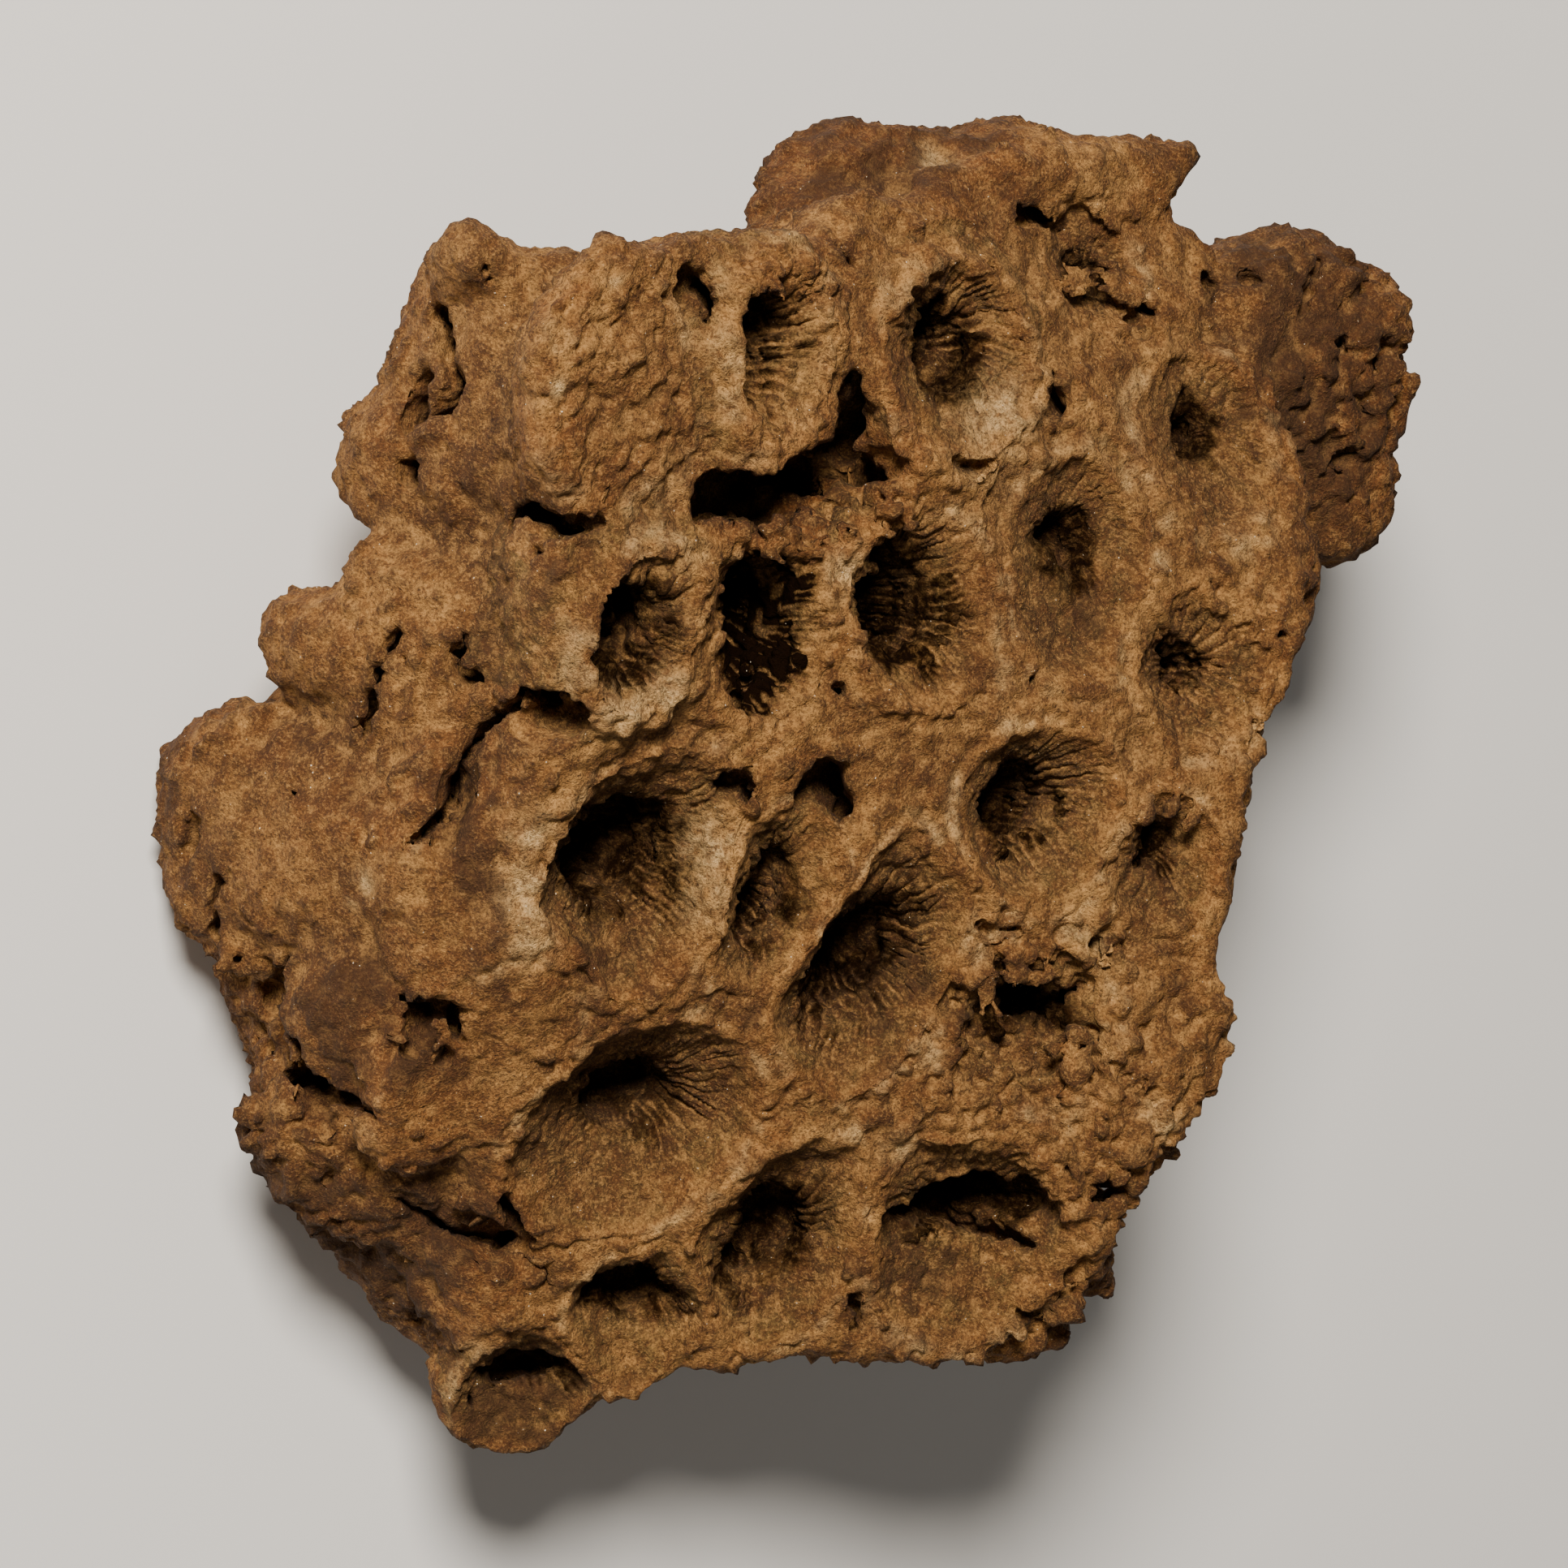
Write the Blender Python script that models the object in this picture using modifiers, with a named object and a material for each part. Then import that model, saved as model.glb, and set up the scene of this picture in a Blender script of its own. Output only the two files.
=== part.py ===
"""Fossil colonial rugose coral, a hand-sized broken piece of one colony.

The calices, the cups that the polyps sat in, open upwards (+Z). The piece rests on the flat cut
where it grew on the sea floor. +X and +Y lie along the field of calices. Metres, one solid.
"""

import math

import bmesh
import bpy
import numpy as np
from mathutils import Matrix, Vector, noise

MM = 0.001
NODE = "coral_colony"

# Rim surface: a dome that is highest along Y = RIDGE_Y and twists towards +X, in millimetres
RIM_HEIGHT = 31.5
RIDGE_Y = 7.0
DOME = 0.004
TWIST_X = 3.0
TILT = 0.13
TWIST = 0.0104

# Body of the colony: radii in millimetres about one upright axis, at 16 azimuths from +X,
# at five shares of the height from the cut to the rim surface
BODY_CENTRE = (4.0, -3.0)
BODY_RADII = (
    (20, 20, 19, 18, 17, 16, 18, 19, 23.5, 24, 21.5, 21, 21, 20, 20, 20),
    (23, 26, 26, 25, 22, 22, 22, 20.5, 27.5, 27.5, 29.5, 32, 28, 26, 24, 22),
    (25, 31, 34, 31, 28, 30.5, 26, 22, 28, 27, 31, 35.5, 31, 30.5, 27, 24),
    (26, 36, 41, 36, 32, 34.5, 27.5, 22, 25, 25, 28, 36, 32, 33.5, 28.5, 25.5),
    (27, 38, 45, 39, 34, 35.5, 29, 22.5, 20, 22, 26, 37, 32.5, 35, 28.5, 26.5),
)
BODY_BELOW_RIMS = 1.5
BODY_POINTS = 64
BODY_LEVELS = 12
BODY_TOP = (0.8, 0.6, 0.4, 0.2)

# Calices: centre x and y, lift above the rim surface, half width, half length, turn of the long
# axis in degrees clockwise from +Y, depth of the pit, pit share of the rim, height of its boss
CALICES = {
    "A1": (-12.0, 23.3, -0.6, 5.6, 6.8, 0, 2.2, 0.34, 0.0),
    "A2": (-1.1, 24.3, 0.6, 5.4, 6.4, 5, 8.0, 0.40, 0.0),
    "A3": (12.6, 22.6, 0.6, 6.4, 6.2, 0, 8.0, 0.40, 0.0),
    "A4": (25.8, 26.7, -0.6, 4.2, 3.7, 0, 6.0, 0.46, 0.0),
    "A5": (31.6, 16.8, 0.0, 5.8, 5.9, 0, 7.0, 0.40, 0.0),
    "B1": (-10.5, 9.6, 0.9, 4.9, 6.1, 8, 6.5, 0.42, 2.0),
    "B2": (-1.6, 9.1, 0.0, 4.6, 5.2, 0, 11.0, 0.62, 0.0),
    "B3": (9.2, 9.2, 0.2, 5.6, 6.0, 0, 9.0, 0.46, 0.0),
    "B4": (20.4, 9.9, 0.0, 5.6, 7.2, 10, 6.5, 0.42, 1.2),
    "B5": (28.1, 4.2, -0.4, 5.2, 5.0, 0, 6.5, 0.38, 0.0),
    "C1": (-8.2, -4.7, 0.0, 6.2, 7.8, 12, 9.0, 0.44, 0.0),
    "C2": (-0.5, -6.7, 0.0, 3.7, 5.8, 18, 6.0, 0.46, 0.8),
    "C3": (5.8, -11.0, 0.3, 5.2, 8.6, 24, 8.0, 0.42, 0.0),
    "C4": (16.6, -3.7, 0.2, 5.7, 6.1, 10, 8.0, 0.42, 0.0),
    "C5": (24.4, -6.9, -0.4, 3.4, 4.6, 10, 6.0, 0.44, 0.0),
    "D1": (-7.0, -19.9, 0.0, 7.0, 7.0, 20, 7.5, 0.36, 0.0),
    "D2": (15.5, -15.9, -0.2, 5.8, 6.2, 10, 6.5, 0.46, 0.0),
    "D3": (2.5, -28.0, 0.0, 4.8, 7.4, 18, 8.0, 0.42, 0.0),
    "D4": (13.2, -28.0, 0.0, 6.6, 6.7, 0, 8.4, 0.46, 0.0),
    "D5": (-4.6, -32.2, 0.2, 3.9, 5.8, 15, 6.0, 0.42, 1.2),
    "D6": (-9.3, -36.5, 0.0, 3.7, 3.8, 0, 4.0, 0.50, 0.0),
    "E1": (-16.0, -15.0, -0.8, 4.4, 6.6, 30, 3.0, 0.30, 0.0),
    "R1": (24.8, -17.0, -1.2, 3.8, 4.6, 0, 3.0, 0.45, 0.0),
    "R2": (20.6, -24.2, -0.8, 3.6, 3.6, 0, 2.5, 0.45, 0.0),
}
RIM_SHARE = 0.93
REACH = 1.14
ROUNDING = 9.0
OVERLAP = 1.04
WALL_DEPTH = 14.0
ABOVE_CUT = 6.0
FAN_ROOT = Vector((4.0, -3.0, -30.0))
# The tube around a calice: share of the rim, share of its depth and share of its lean, and then
# near the rim, share of the rim and depth in millimetres
TUBE_FOOT = ((0.7, 1.0, 1.0), (0.9, 0.5, 0.4))
TUBE_RIM = ((OVERLAP, 1.2), (OVERLAP - 0.03, 0.25), (OVERLAP - 0.1, 0.0))
# The funnel of a calice from above its rim to its pit: share of the way, share of the depth
FUNNEL = ((1.04, -0.16), (1.0, 0.0), (0.9, 0.07), (0.74, 0.2), (0.56, 0.38), (0.42, 0.55), (0.3, 0.8))
PIT_NECK = 0.8
PIT_FLOOR = 0.55
BOSS_TOP = 0.18
RING_POINTS = 36
# Least cosine between the way to a neighbour and the way to the rim that it holds back
FACING = 0.1

# Lumps fused to the body: centre, half sizes, turn about Z and lean about Y in degrees
LUMPS = {
    "right_lobe": ((43.0, 19.0, 23.0), (9.0, 9.0, 4.6), 0, 0),
    "right_lobe_tip": ((48.6, 20.5, 24.0), (3.2, 5.6, 3.8), 10, 0),
    "right_lobe_heel": ((46.8, 12.0, 23.5), (4.4, 4.2, 3.4), 0, 0),
    "back_lobe": ((15.4, 31.8, 19.0), (7.8, 4.2, 4.2), 0, 0),
    "back_lobe_end": ((10.4, 30.0, 20.5), (4.5, 3.5, 3.5), 0, 0),
    "back_lobe_plate": ((22.0, 32.5, 21.5), (6.0, 3.0, 3.0), 0, 0),
    "top_plate": ((26.0, 31.5, 23.0), (9.5, 3.2, 2.6), 0, 8),
    "left_knob": ((-15.4, 29.6, 22.2), (2.7, 2.4, 3.4), 0, 0),
    "knob_peak": ((-17.2, 30.5, 23.4), (1.8, 2.0, 2.6), 0, 0),
    "knob_heel": ((-15.0, 27.4, 19.5), (2.4, 2.4, 3.6), 0, 0),
    "upper_flank": ((-13.2, 23.0, 21.0), (4.4, 8.0, 8.5), -8, 0),
    "flange": ((-13.6, 18.0, 17.5), (4.6, 5.0, 7.5), 0, 10),
    "ledge_knob": ((-18.4, 7.4, 13.0), (3.8, 3.4, 5.0), 0, 10),
    "ledge_bridge": ((-14.6, 7.0, 19.5), (4.8, 7.6, 8.0), 0, 30),
    "base_plate": ((-19.3, -4.0, 9.5), (5.4, 8.4, 9.0), 6, 20),
    "middle_plate": ((-15.5, -4.5, 22.0), (4.5, 8.5, 6.0), 0, 45),
    "lower_plate": ((-17.0, -12.5, 17.0), (5.0, 5.5, 6.5), 20, 40),
    "foot_plate": ((-16.5, -21.0, 12.0), (5.0, 6.5, 6.0), 35, 30),
    "side_plate": ((-10.2, -28.6, 15.5), (4.5, 5.2, 4.5), 30, 0),
    "lower_right": ((22.0, -20.0, 31.0), (5.5, 6.5, 4.5), 0, -15),
    "edge_knob": ((21.6, -27.0, 30.0), (2.8, 2.6, 3.0), 0, 0),
    "lower_edge": ((19.6, -34.5, 27.0), (3.2, 3.2, 3.2), 0, 0),
}

# Ribs down the sides that the photograph doesn't show, each the outside of one buried corallite
RIB_AZIMUTHS = range(-60, 100, 16)
RIB_RADIUS = 5.4
RIB_BURIED = 0.7
RIB_FROM = 0.04
RIB_TO = 0.96
RIB_TAPER = 0.45
RIB_RINGS = 9
RIB_POINTS = 16

# Spines, the broken ends of buried walls: foot, tip and radius of the foot
SPINES = (
    ((-16.0, 12.2, 16.5), (-21.6, 14.0, 17.3), 2.0),
    ((-20.5, 2.5, 9.0), (-24.4, 5.2, 11.0), 1.8),
    ((-22.0, 0.5, 9.0), (-26.2, 3.6, 8.8), 1.7),
    ((-20.0, -9.0, 8.5), (-26.2, -12.0, 9.4), 2.0),
    ((-17.0, -16.0, 9.5), (-24.6, -19.8, 9.6), 2.2),
    ((33.5, 32.0, 22.5), (37.3, 33.8, 23.6), 2.2),
    ((30.0, 0.0, 31.0), (33.6, -0.8, 32.6), 1.8),
    ((27.5, -3.0, 32.0), (31.8, -4.0, 33.0), 1.6),
    ((26.0, -12.5, 34.0), (29.2, -13.6, 35.0), 1.8),
    ((25.5, -18.0, 33.5), (28.4, -19.2, 35.2), 1.8),
    ((22.5, -31.0, 28.5), (25.4, -34.0, 29.8), 1.8),
)
SPINE_TIP = 0.15
SPINE_POINTS = 10

# Holes and cavities that open outwards: centre, half sizes, turn about Z and lean about Y in degrees
HOLES = {
    "wall_pit_1": ((-3.4, 0.0, 29.6), (1.1, 1.0, 2.6), 0, 0),
    "wall_pit_2": ((2.2, 0.0, 30.2), (1.7, 1.4, 3.2), 20, 0),
    "top_pit_1": ((21.1, 30.2, 25.2), (1.4, 0.9, 2.6), -20, 0),
    "top_pit_2": ((28.7, 23.6, 26.6), (0.9, 0.8, 2.2), 0, 0),
    "top_pit_3": ((20.2, 20.2, 28.6), (1.1, 1.3, 2.6), 0, 0),
    "top_pit_4": ((-6.9, 28.2, 30.6), (1.3, 1.5, 2.6), 0, 0),
    "gap": ((1.0, 16.4, 29.5), (7.6, 2.5, 4.8), 6, 0),
    "gap_end": ((5.2, 18.8, 29.5), (1.5, 3.4, 4.0), 15, 0),
    "ledge_slot": ((-15.6, 15.9, 30.2), (3.0, 1.0, 1.8), 0, 0),
    "pocket": ((-15.2, 4.8, 28.6), (3.2, 1.3, 2.6), 10, 0),
    "upper_cavity": ((-19.2, 22.6, 19.4), (2.2, 1.3, 3.0), 10, 0),
    "upper_cavity_low": ((-20.2, 18.0, 19.6), (1.8, 0.9, 1.5), 0, 0),
    "slit_1": ((-21.4, 6.6, 20.6), (2.0, 3.6, 1.1), 0, 0),
    "slit_2": ((-18.6, 8.6, 26.4), (2.0, 0.9, 2.4), 0, 0),
    "crack": ((-18.6, 1.4, 24.6), (2.2, 4.8, 1.0), -12, 40),
    "lower_cavity": ((-18.6, -12.6, 21.4), (1.9, 2.2, 1.3), 0, 40),
    "foot_cavity": ((-21.6, -17.6, 14.6), (2.0, 2.8, 1.3), 10, 40),
    "foot_gap": ((-13.6, -26.2, 19.4), (3.6, 1.3, 2.2), -25, 0),
}

BODY_VOXEL = 0.62
CUTTER_VOXEL = 0.50
FINAL_VOXEL = 0.50
ROUGHNESS = 0.55
ROUGH_SCALE = 3.2
ROUGH_FROM = 3.0
CUT_LEVEL = 0.4
TARGET_TRIANGLES = 8800
CENTRE_X = 13.2
CENTRE_Y = -2.1


def rim_height(x, y):
    """Height of the rim surface over a point of the plan."""
    return RIM_HEIGHT - DOME * (y - RIDGE_Y) ** 2 + (x - TWIST_X) * (TILT - TWIST * y)


def rim_slope(x, y):
    """Rise of the rim surface along X and along Y."""
    return TILT - TWIST * y, -2 * DOME * (y - RIDGE_Y) - TWIST * (x - TWIST_X)


def spline(before, start, end, after, t):
    """A value on the smooth curve through four evenly spaced ones, between the middle two."""
    return 0.5 * (
        2 * start
        + (end - before) * t
        + (2 * before - 5 * start + 4 * end - after) * t ** 2
        + (3 * start - before - 3 * end + after) * t ** 3
    )


def body_radius(azimuth, share):
    """Radius of the body at an azimuth in radians and a share of the height, 0 to 1."""
    table = np.array(BODY_RADII, float)
    levels, steps = table.shape
    place = azimuth / math.tau * steps
    first = math.floor(place)
    column = spline(*(table[:, (first + k) % steps] for k in (-1, 0, 1, 2)), place - first)
    level = min(int(share * (levels - 1)), levels - 2)
    rows = [min(max(level + k, 0), levels - 1) for k in (-1, 0, 1, 2)]
    return spline(*column[rows], share * (levels - 1) - level)


def new_object(name, mesh, collection):
    made = bpy.data.objects.new(name, mesh)
    collection.objects.link(made)
    return made


def add_loft(bm, rings):
    """A closed skin through rings of equal length, with a fan of triangles at each end."""
    rows = [[bm.verts.new(point * MM) for point in ring] for ring in rings]
    count = len(rings[0])
    for lower, upper in zip(rows, rows[1:]):
        for k in range(count):
            n = (k + 1) % count
            bm.faces.new((lower[k], lower[n], upper[n], upper[k]))
    for ring, row, turn in ((rings[0], rows[0], -1), (rings[-1], rows[-1], 1)):
        middle = bm.verts.new(sum(ring, Vector()) / count * MM)
        for k in range(count):
            edge = (row[k], row[(k + 1) % count])[::turn]
            bm.faces.new((*edge, middle))


def add_body(bm):
    """The mass of the colony, from the cut up to a little below the rims."""
    rings = []
    for level in range(BODY_LEVELS + 1):
        share = level / BODY_LEVELS
        ring = []
        for k in range(BODY_POINTS):
            azimuth = math.tau * k / BODY_POINTS
            radius = body_radius(azimuth, share)
            x = BODY_CENTRE[0] + radius * math.cos(azimuth)
            y = BODY_CENTRE[1] + radius * math.sin(azimuth)
            ring.append(Vector((x, y, share * (rim_height(x, y) - BODY_BELOW_RIMS))))
        rings.append(ring)
    for inward in BODY_TOP:
        ring = []
        for point in rings[BODY_LEVELS]:
            x = BODY_CENTRE[0] + (point.x - BODY_CENTRE[0]) * inward
            y = BODY_CENTRE[1] + (point.y - BODY_CENTRE[1]) * inward
            ring.append(Vector((x, y, rim_height(x, y) - BODY_BELOW_RIMS)))
        rings.append(ring)
    add_loft(bm, rings)


def ellipse_radius(calice, azimuth):
    """Radius of the calice's own oval at an azimuth."""
    half_width, half_length, turn = calice[3:6]
    local = azimuth + math.radians(turn)
    return 1 / math.hypot(math.cos(local) / half_width, math.sin(local) / half_length)


def rim_radius(name, azimuth):
    """Distance from a calice's centre to its rim: its own oval, held back by its neighbours."""
    calice = CALICES[name]
    total = (REACH * ellipse_radius(calice, azimuth)) ** -ROUNDING
    for other, neighbour in CALICES.items():
        if other == name:
            continue
        dx = neighbour[0] - calice[0]
        dy = neighbour[1] - calice[1]
        toward = math.atan2(dy, dx)
        facing = math.cos(azimuth - toward)
        if facing > FACING:
            own = ellipse_radius(calice, toward)
            share = own / (own + ellipse_radius(neighbour, toward + math.pi))
            total += (share * math.hypot(dx, dy) / facing) ** -ROUNDING
    return total ** (-1 / ROUNDING)


def calice_frame(name):
    """The calice's centre on the rim surface, its slopes and its upward normal."""
    x, y, lift = CALICES[name][:3]
    slope_x, slope_y = rim_slope(x, y)
    centre = Vector((x, y, rim_height(x, y) + lift))
    normal = Vector((-slope_x, -slope_y, 1)).normalized()
    return centre, slope_x, slope_y, normal


def calice_ring(name, share, depth, drift=Vector()):
    """A ring of points at a share of the rim's radius and a depth below the rim."""
    centre, slope_x, slope_y, normal = calice_frame(name)
    ring = []
    for k in range(RING_POINTS):
        azimuth = math.tau * k / RING_POINTS
        radius = rim_radius(name, azimuth) * share
        dx = radius * math.cos(azimuth)
        dy = radius * math.sin(azimuth)
        ring.append(centre + Vector((dx, dy, slope_x * dx + slope_y * dy)) - normal * depth + drift)
    return ring


def add_corallite(bm, name):
    """The solid wall tube of one polyp, which leans away from the root of the colony."""
    centre, _, _, normal = calice_frame(name)
    axis = (centre - FAN_ROOT).normalized()
    lowest = min(WALL_DEPTH, centre.z - ABOVE_CUT)
    lean = (normal - axis) * lowest
    rings = [calice_ring(name, share, sink * lowest, drift * lean) for share, sink, drift in TUBE_FOOT]
    for share, depth in TUBE_RIM:
        rings.append(calice_ring(name, share, depth))
    add_loft(bm, rings)


def add_calice_cutter(bm, name):
    """The hollow of a calice: a funnel that steepens into a pit, around its boss if it has one."""
    depth, pit, boss = CALICES[name][6:9]
    neck = pit * PIT_NECK
    lowest = FUNNEL[-1][0]
    rings = []
    if boss:
        rings.append(calice_ring(name, pit * BOSS_TOP, depth - boss))
    rings.append(calice_ring(name, pit * PIT_FLOOR, depth))
    for share, sink in reversed(FUNNEL):
        radius = neck + (1 - neck) * (share - lowest) / (1 - lowest)
        rings.append(calice_ring(name, radius * RIM_SHARE, sink * depth))
    add_loft(bm, rings)


def add_rib(bm, azimuth):
    """A half-buried tube that follows the side of the body from the cut to the rims."""
    rings = []
    for level in range(RIB_RINGS):
        share = RIB_FROM + (RIB_TO - RIB_FROM) * level / (RIB_RINGS - 1)
        thick = RIB_RADIUS * (1 - RIB_TAPER * (1 - share))
        radius = body_radius(math.radians(azimuth) % math.tau, share) - thick * RIB_BURIED
        x = BODY_CENTRE[0] + radius * math.cos(math.radians(azimuth))
        y = BODY_CENTRE[1] + radius * math.sin(math.radians(azimuth))
        z = share * (rim_height(x, y) - BODY_BELOW_RIMS)
        ring = []
        for k in range(RIB_POINTS):
            turn = math.tau * k / RIB_POINTS
            ring.append(Vector((x + thick * math.cos(turn), y + thick * math.sin(turn), z)))
        rings.append(ring)
    add_loft(bm, rings)


def add_lump(bm, centre, half, turn, lean, detail=3):
    """An ellipsoid of triangles."""
    placed = (
        Matrix.Translation(Vector(centre) * MM)
        @ Matrix.Rotation(math.radians(turn), 4, "Z")
        @ Matrix.Rotation(math.radians(lean), 4, "Y")
        @ Matrix.Diagonal((*(size * MM for size in half), 1))
    )
    bmesh.ops.create_icosphere(bm, subdivisions=detail, radius=1, matrix=placed)


def add_spine(bm, foot, tip, radius):
    """A blunt cone from its foot in the stone to its tip."""
    along = (Vector(tip) - Vector(foot)) * MM
    turned = along.to_track_quat("Z", "Y").to_matrix().to_4x4()
    placed = Matrix.Translation(Vector(foot) * MM + along / 2) @ turned
    bmesh.ops.create_cone(
        bm,
        cap_ends=True,
        segments=SPINE_POINTS,
        radius1=radius * MM,
        radius2=radius * SPINE_TIP * MM,
        depth=along.length,
        matrix=placed,
    )


def finished_mesh(bm, name):
    """The mesh of what was built, with its faces turned outwards."""
    bmesh.ops.recalc_face_normals(bm, faces=bm.faces)
    mesh = bpy.data.meshes.new(name)
    bm.to_mesh(mesh)
    bm.free()
    return mesh


def add_remesh(target, voxel):
    remesh = target.modifiers.new("Remesh", "REMESH")
    remesh.mode = "VOXEL"
    remesh.voxel_size = voxel * MM


def apply_modifiers(target):
    """Replaces the object's mesh by what its modifiers make of it."""
    graph = bpy.context.evaluated_depsgraph_get()
    made = bpy.data.meshes.new_from_object(target.evaluated_get(graph))
    target.modifiers.clear()
    target.data = made


def roughen(mesh):
    """Weathers the skin with lumps and hollows, none at the cut."""
    normals = [vertex.normal.copy() for vertex in mesh.vertices]
    for vertex, normal in zip(mesh.vertices, normals):
        place = vertex.co / (ROUGH_SCALE * MM)
        push = noise.fractal(place, 1.0, 2.0, 3) * ROUGHNESS
        fade = min(1.0, max(0.0, vertex.co.z / (ROUGH_FROM * MM)))
        vertex.co += normal * push * fade * MM


def stone_material():
    material = bpy.data.materials.new("silicified_coral")
    material.use_nodes = True
    shader = material.node_tree.nodes["Principled BSDF"]
    shader.inputs["Base Color"].default_value = (0.36, 0.20, 0.085, 1)
    shader.inputs["Roughness"].default_value = 0.8
    shader.inputs["Metallic"].default_value = 0.0
    return material


def build_solid(collection):
    """Everything that stands out of the colony, as one skin."""
    bm = bmesh.new()
    add_body(bm)
    for name in CALICES:
        add_corallite(bm, name)
    for centre, half, turn, lean in LUMPS.values():
        add_lump(bm, centre, half, turn, lean)
    for azimuth in RIB_AZIMUTHS:
        add_rib(bm, azimuth)
    for foot, tip, radius in SPINES:
        add_spine(bm, foot, tip, radius)
    solid = new_object(NODE, finished_mesh(bm, NODE), collection)
    add_remesh(solid, BODY_VOXEL)
    return solid


def build_cutter(collection):
    """Everything that is hollow, as one skin."""
    bm = bmesh.new()
    for name in CALICES:
        add_calice_cutter(bm, name)
    for centre, half, turn, lean in HOLES.values():
        add_lump(bm, centre, half, turn, lean, 2)
    cutter = new_object("hollows", finished_mesh(bm, "hollows"), collection)
    cutter.hide_render = True
    cutter.display_type = "WIRE"
    add_remesh(cutter, CUTTER_VOXEL)
    return cutter


def keep_largest(bm):
    """Deletes every loose crumb, so that one body is left."""
    unseen = set(bm.verts)
    bodies = []
    while unseen:
        body = set()
        front = [unseen.pop()]
        while front:
            vertex = front.pop()
            body.add(vertex)
            for edge in vertex.link_edges:
                other = edge.other_vert(vertex)
                if other in unseen:
                    unseen.remove(other)
                    front.append(other)
        bodies.append(body)
    bodies.sort(key=len)
    for body in bodies[:-1]:
        bmesh.ops.delete(bm, geom=list(body), context="VERTS")


def cut_flat(mesh):
    """Trims the solid at the cut, closes it there and stands the origin under its middle."""
    bm = bmesh.new()
    bm.from_mesh(mesh)
    keep_largest(bm)
    everything = bm.verts[:] + bm.edges[:] + bm.faces[:]
    level = CUT_LEVEL * MM
    cut = bmesh.ops.bisect_plane(
        bm, geom=everything, dist=1e-7, plane_co=(0, 0, level), plane_no=(0, 0, -1), clear_outer=True
    )
    edges = [item for item in cut["geom_cut"] if isinstance(item, bmesh.types.BMEdge)]
    bmesh.ops.holes_fill(bm, edges=edges)
    bmesh.ops.translate(bm, verts=bm.verts, vec=(-CENTRE_X * MM, -CENTRE_Y * MM, -level))
    bmesh.ops.triangulate(bm, faces=bm.faces)
    bmesh.ops.recalc_face_normals(bm, faces=bm.faces)
    bm.to_mesh(mesh)
    bm.free()


def main():
    for leftover in list(bpy.data.objects):
        bpy.data.objects.remove(leftover)
    parts = bpy.data.collections.new("fossil_colonial_coral")
    helpers = bpy.data.collections.new("cutters")
    for collection in (parts, helpers):
        bpy.context.scene.collection.children.link(collection)

    colony = build_solid(parts)
    hollows = build_cutter(helpers)
    cut = colony.modifiers.new("Hollows", "BOOLEAN")
    cut.operation = "DIFFERENCE"
    cut.object = hollows
    add_remesh(colony, FINAL_VOXEL)
    apply_modifiers(colony)
    roughen(colony.data)

    faces = sum(len(face.vertices) - 2 for face in colony.data.polygons)
    thin = colony.modifiers.new("Thin", "DECIMATE")
    thin.ratio = TARGET_TRIANGLES / faces
    apply_modifiers(colony)
    cut_flat(colony.data)
    colony.data.materials.clear()
    colony.data.materials.append(stone_material())


main()
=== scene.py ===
import math

import bpy
import numpy as np
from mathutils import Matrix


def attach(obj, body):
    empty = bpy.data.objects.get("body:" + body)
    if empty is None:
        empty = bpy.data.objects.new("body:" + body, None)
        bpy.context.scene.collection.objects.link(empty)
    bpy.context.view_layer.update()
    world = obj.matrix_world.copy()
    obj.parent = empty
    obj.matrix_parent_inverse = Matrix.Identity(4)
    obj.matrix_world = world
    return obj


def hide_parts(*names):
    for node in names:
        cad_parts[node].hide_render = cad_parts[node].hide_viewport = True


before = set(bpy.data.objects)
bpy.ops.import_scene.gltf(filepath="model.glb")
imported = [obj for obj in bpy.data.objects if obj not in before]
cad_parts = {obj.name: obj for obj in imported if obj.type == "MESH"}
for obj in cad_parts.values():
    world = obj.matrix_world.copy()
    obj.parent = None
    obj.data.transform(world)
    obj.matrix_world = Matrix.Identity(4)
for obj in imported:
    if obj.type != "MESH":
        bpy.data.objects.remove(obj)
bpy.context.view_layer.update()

import openvdb
from mathutils import Matrix, Vector
from numpy.linalg import norm

# The visual model of the fossil coral. Lengths are in millimetres in the colony's own frame, whose
# origin lies BASE_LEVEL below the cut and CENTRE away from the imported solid's origin.
MM = 0.001
CENTRE = (13.2, -2.1)
BASE_LEVEL = 0.4
VOXEL = 0.33
# Half width of the blur that rounds the stone where its solids meet, and how many voxels of
# distance are kept on each side of the skin
SADDLE = 0.66
SHELL = 5.0

# Rim surface: a dome that is highest along Y = RIDGE_Y and twists towards +X
RIM_HEIGHT = 31.5
RIDGE_Y = 7.0
DOME = 0.004
TWIST_X = 3.0
TILT = 0.13
TWIST = 0.0104

# Body of the colony: radii about one upright axis, at 16 azimuths from +X, at five shares of the
# height from the cut to the rim surface
BODY_CENTRE = (4.0, -3.0)
BODY_RADII = np.array((
    (20, 20, 19, 18, 17, 16, 18, 19, 23.5, 24, 21.5, 21, 21, 20, 20, 20),
    (23, 26, 26, 25, 22, 22, 22, 20.5, 27.5, 27.5, 29.5, 32, 28, 26, 24, 22),
    (25, 31, 34, 31, 28, 30.5, 26, 22, 28, 27, 31, 35.5, 31, 30.5, 27, 24),
    (26, 36, 41, 36, 32, 34.5, 27.5, 22, 25, 25, 28, 36, 32, 33.5, 28.5, 25.5),
    (27, 38, 45, 39, 34, 35.5, 29, 22.5, 20, 22, 26, 37, 32.5, 35, 28.5, 26.5),
))
BODY_BELOW_RIMS = 0.2
BODY_POINTS = 160
BODY_LEVELS = 24

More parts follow.
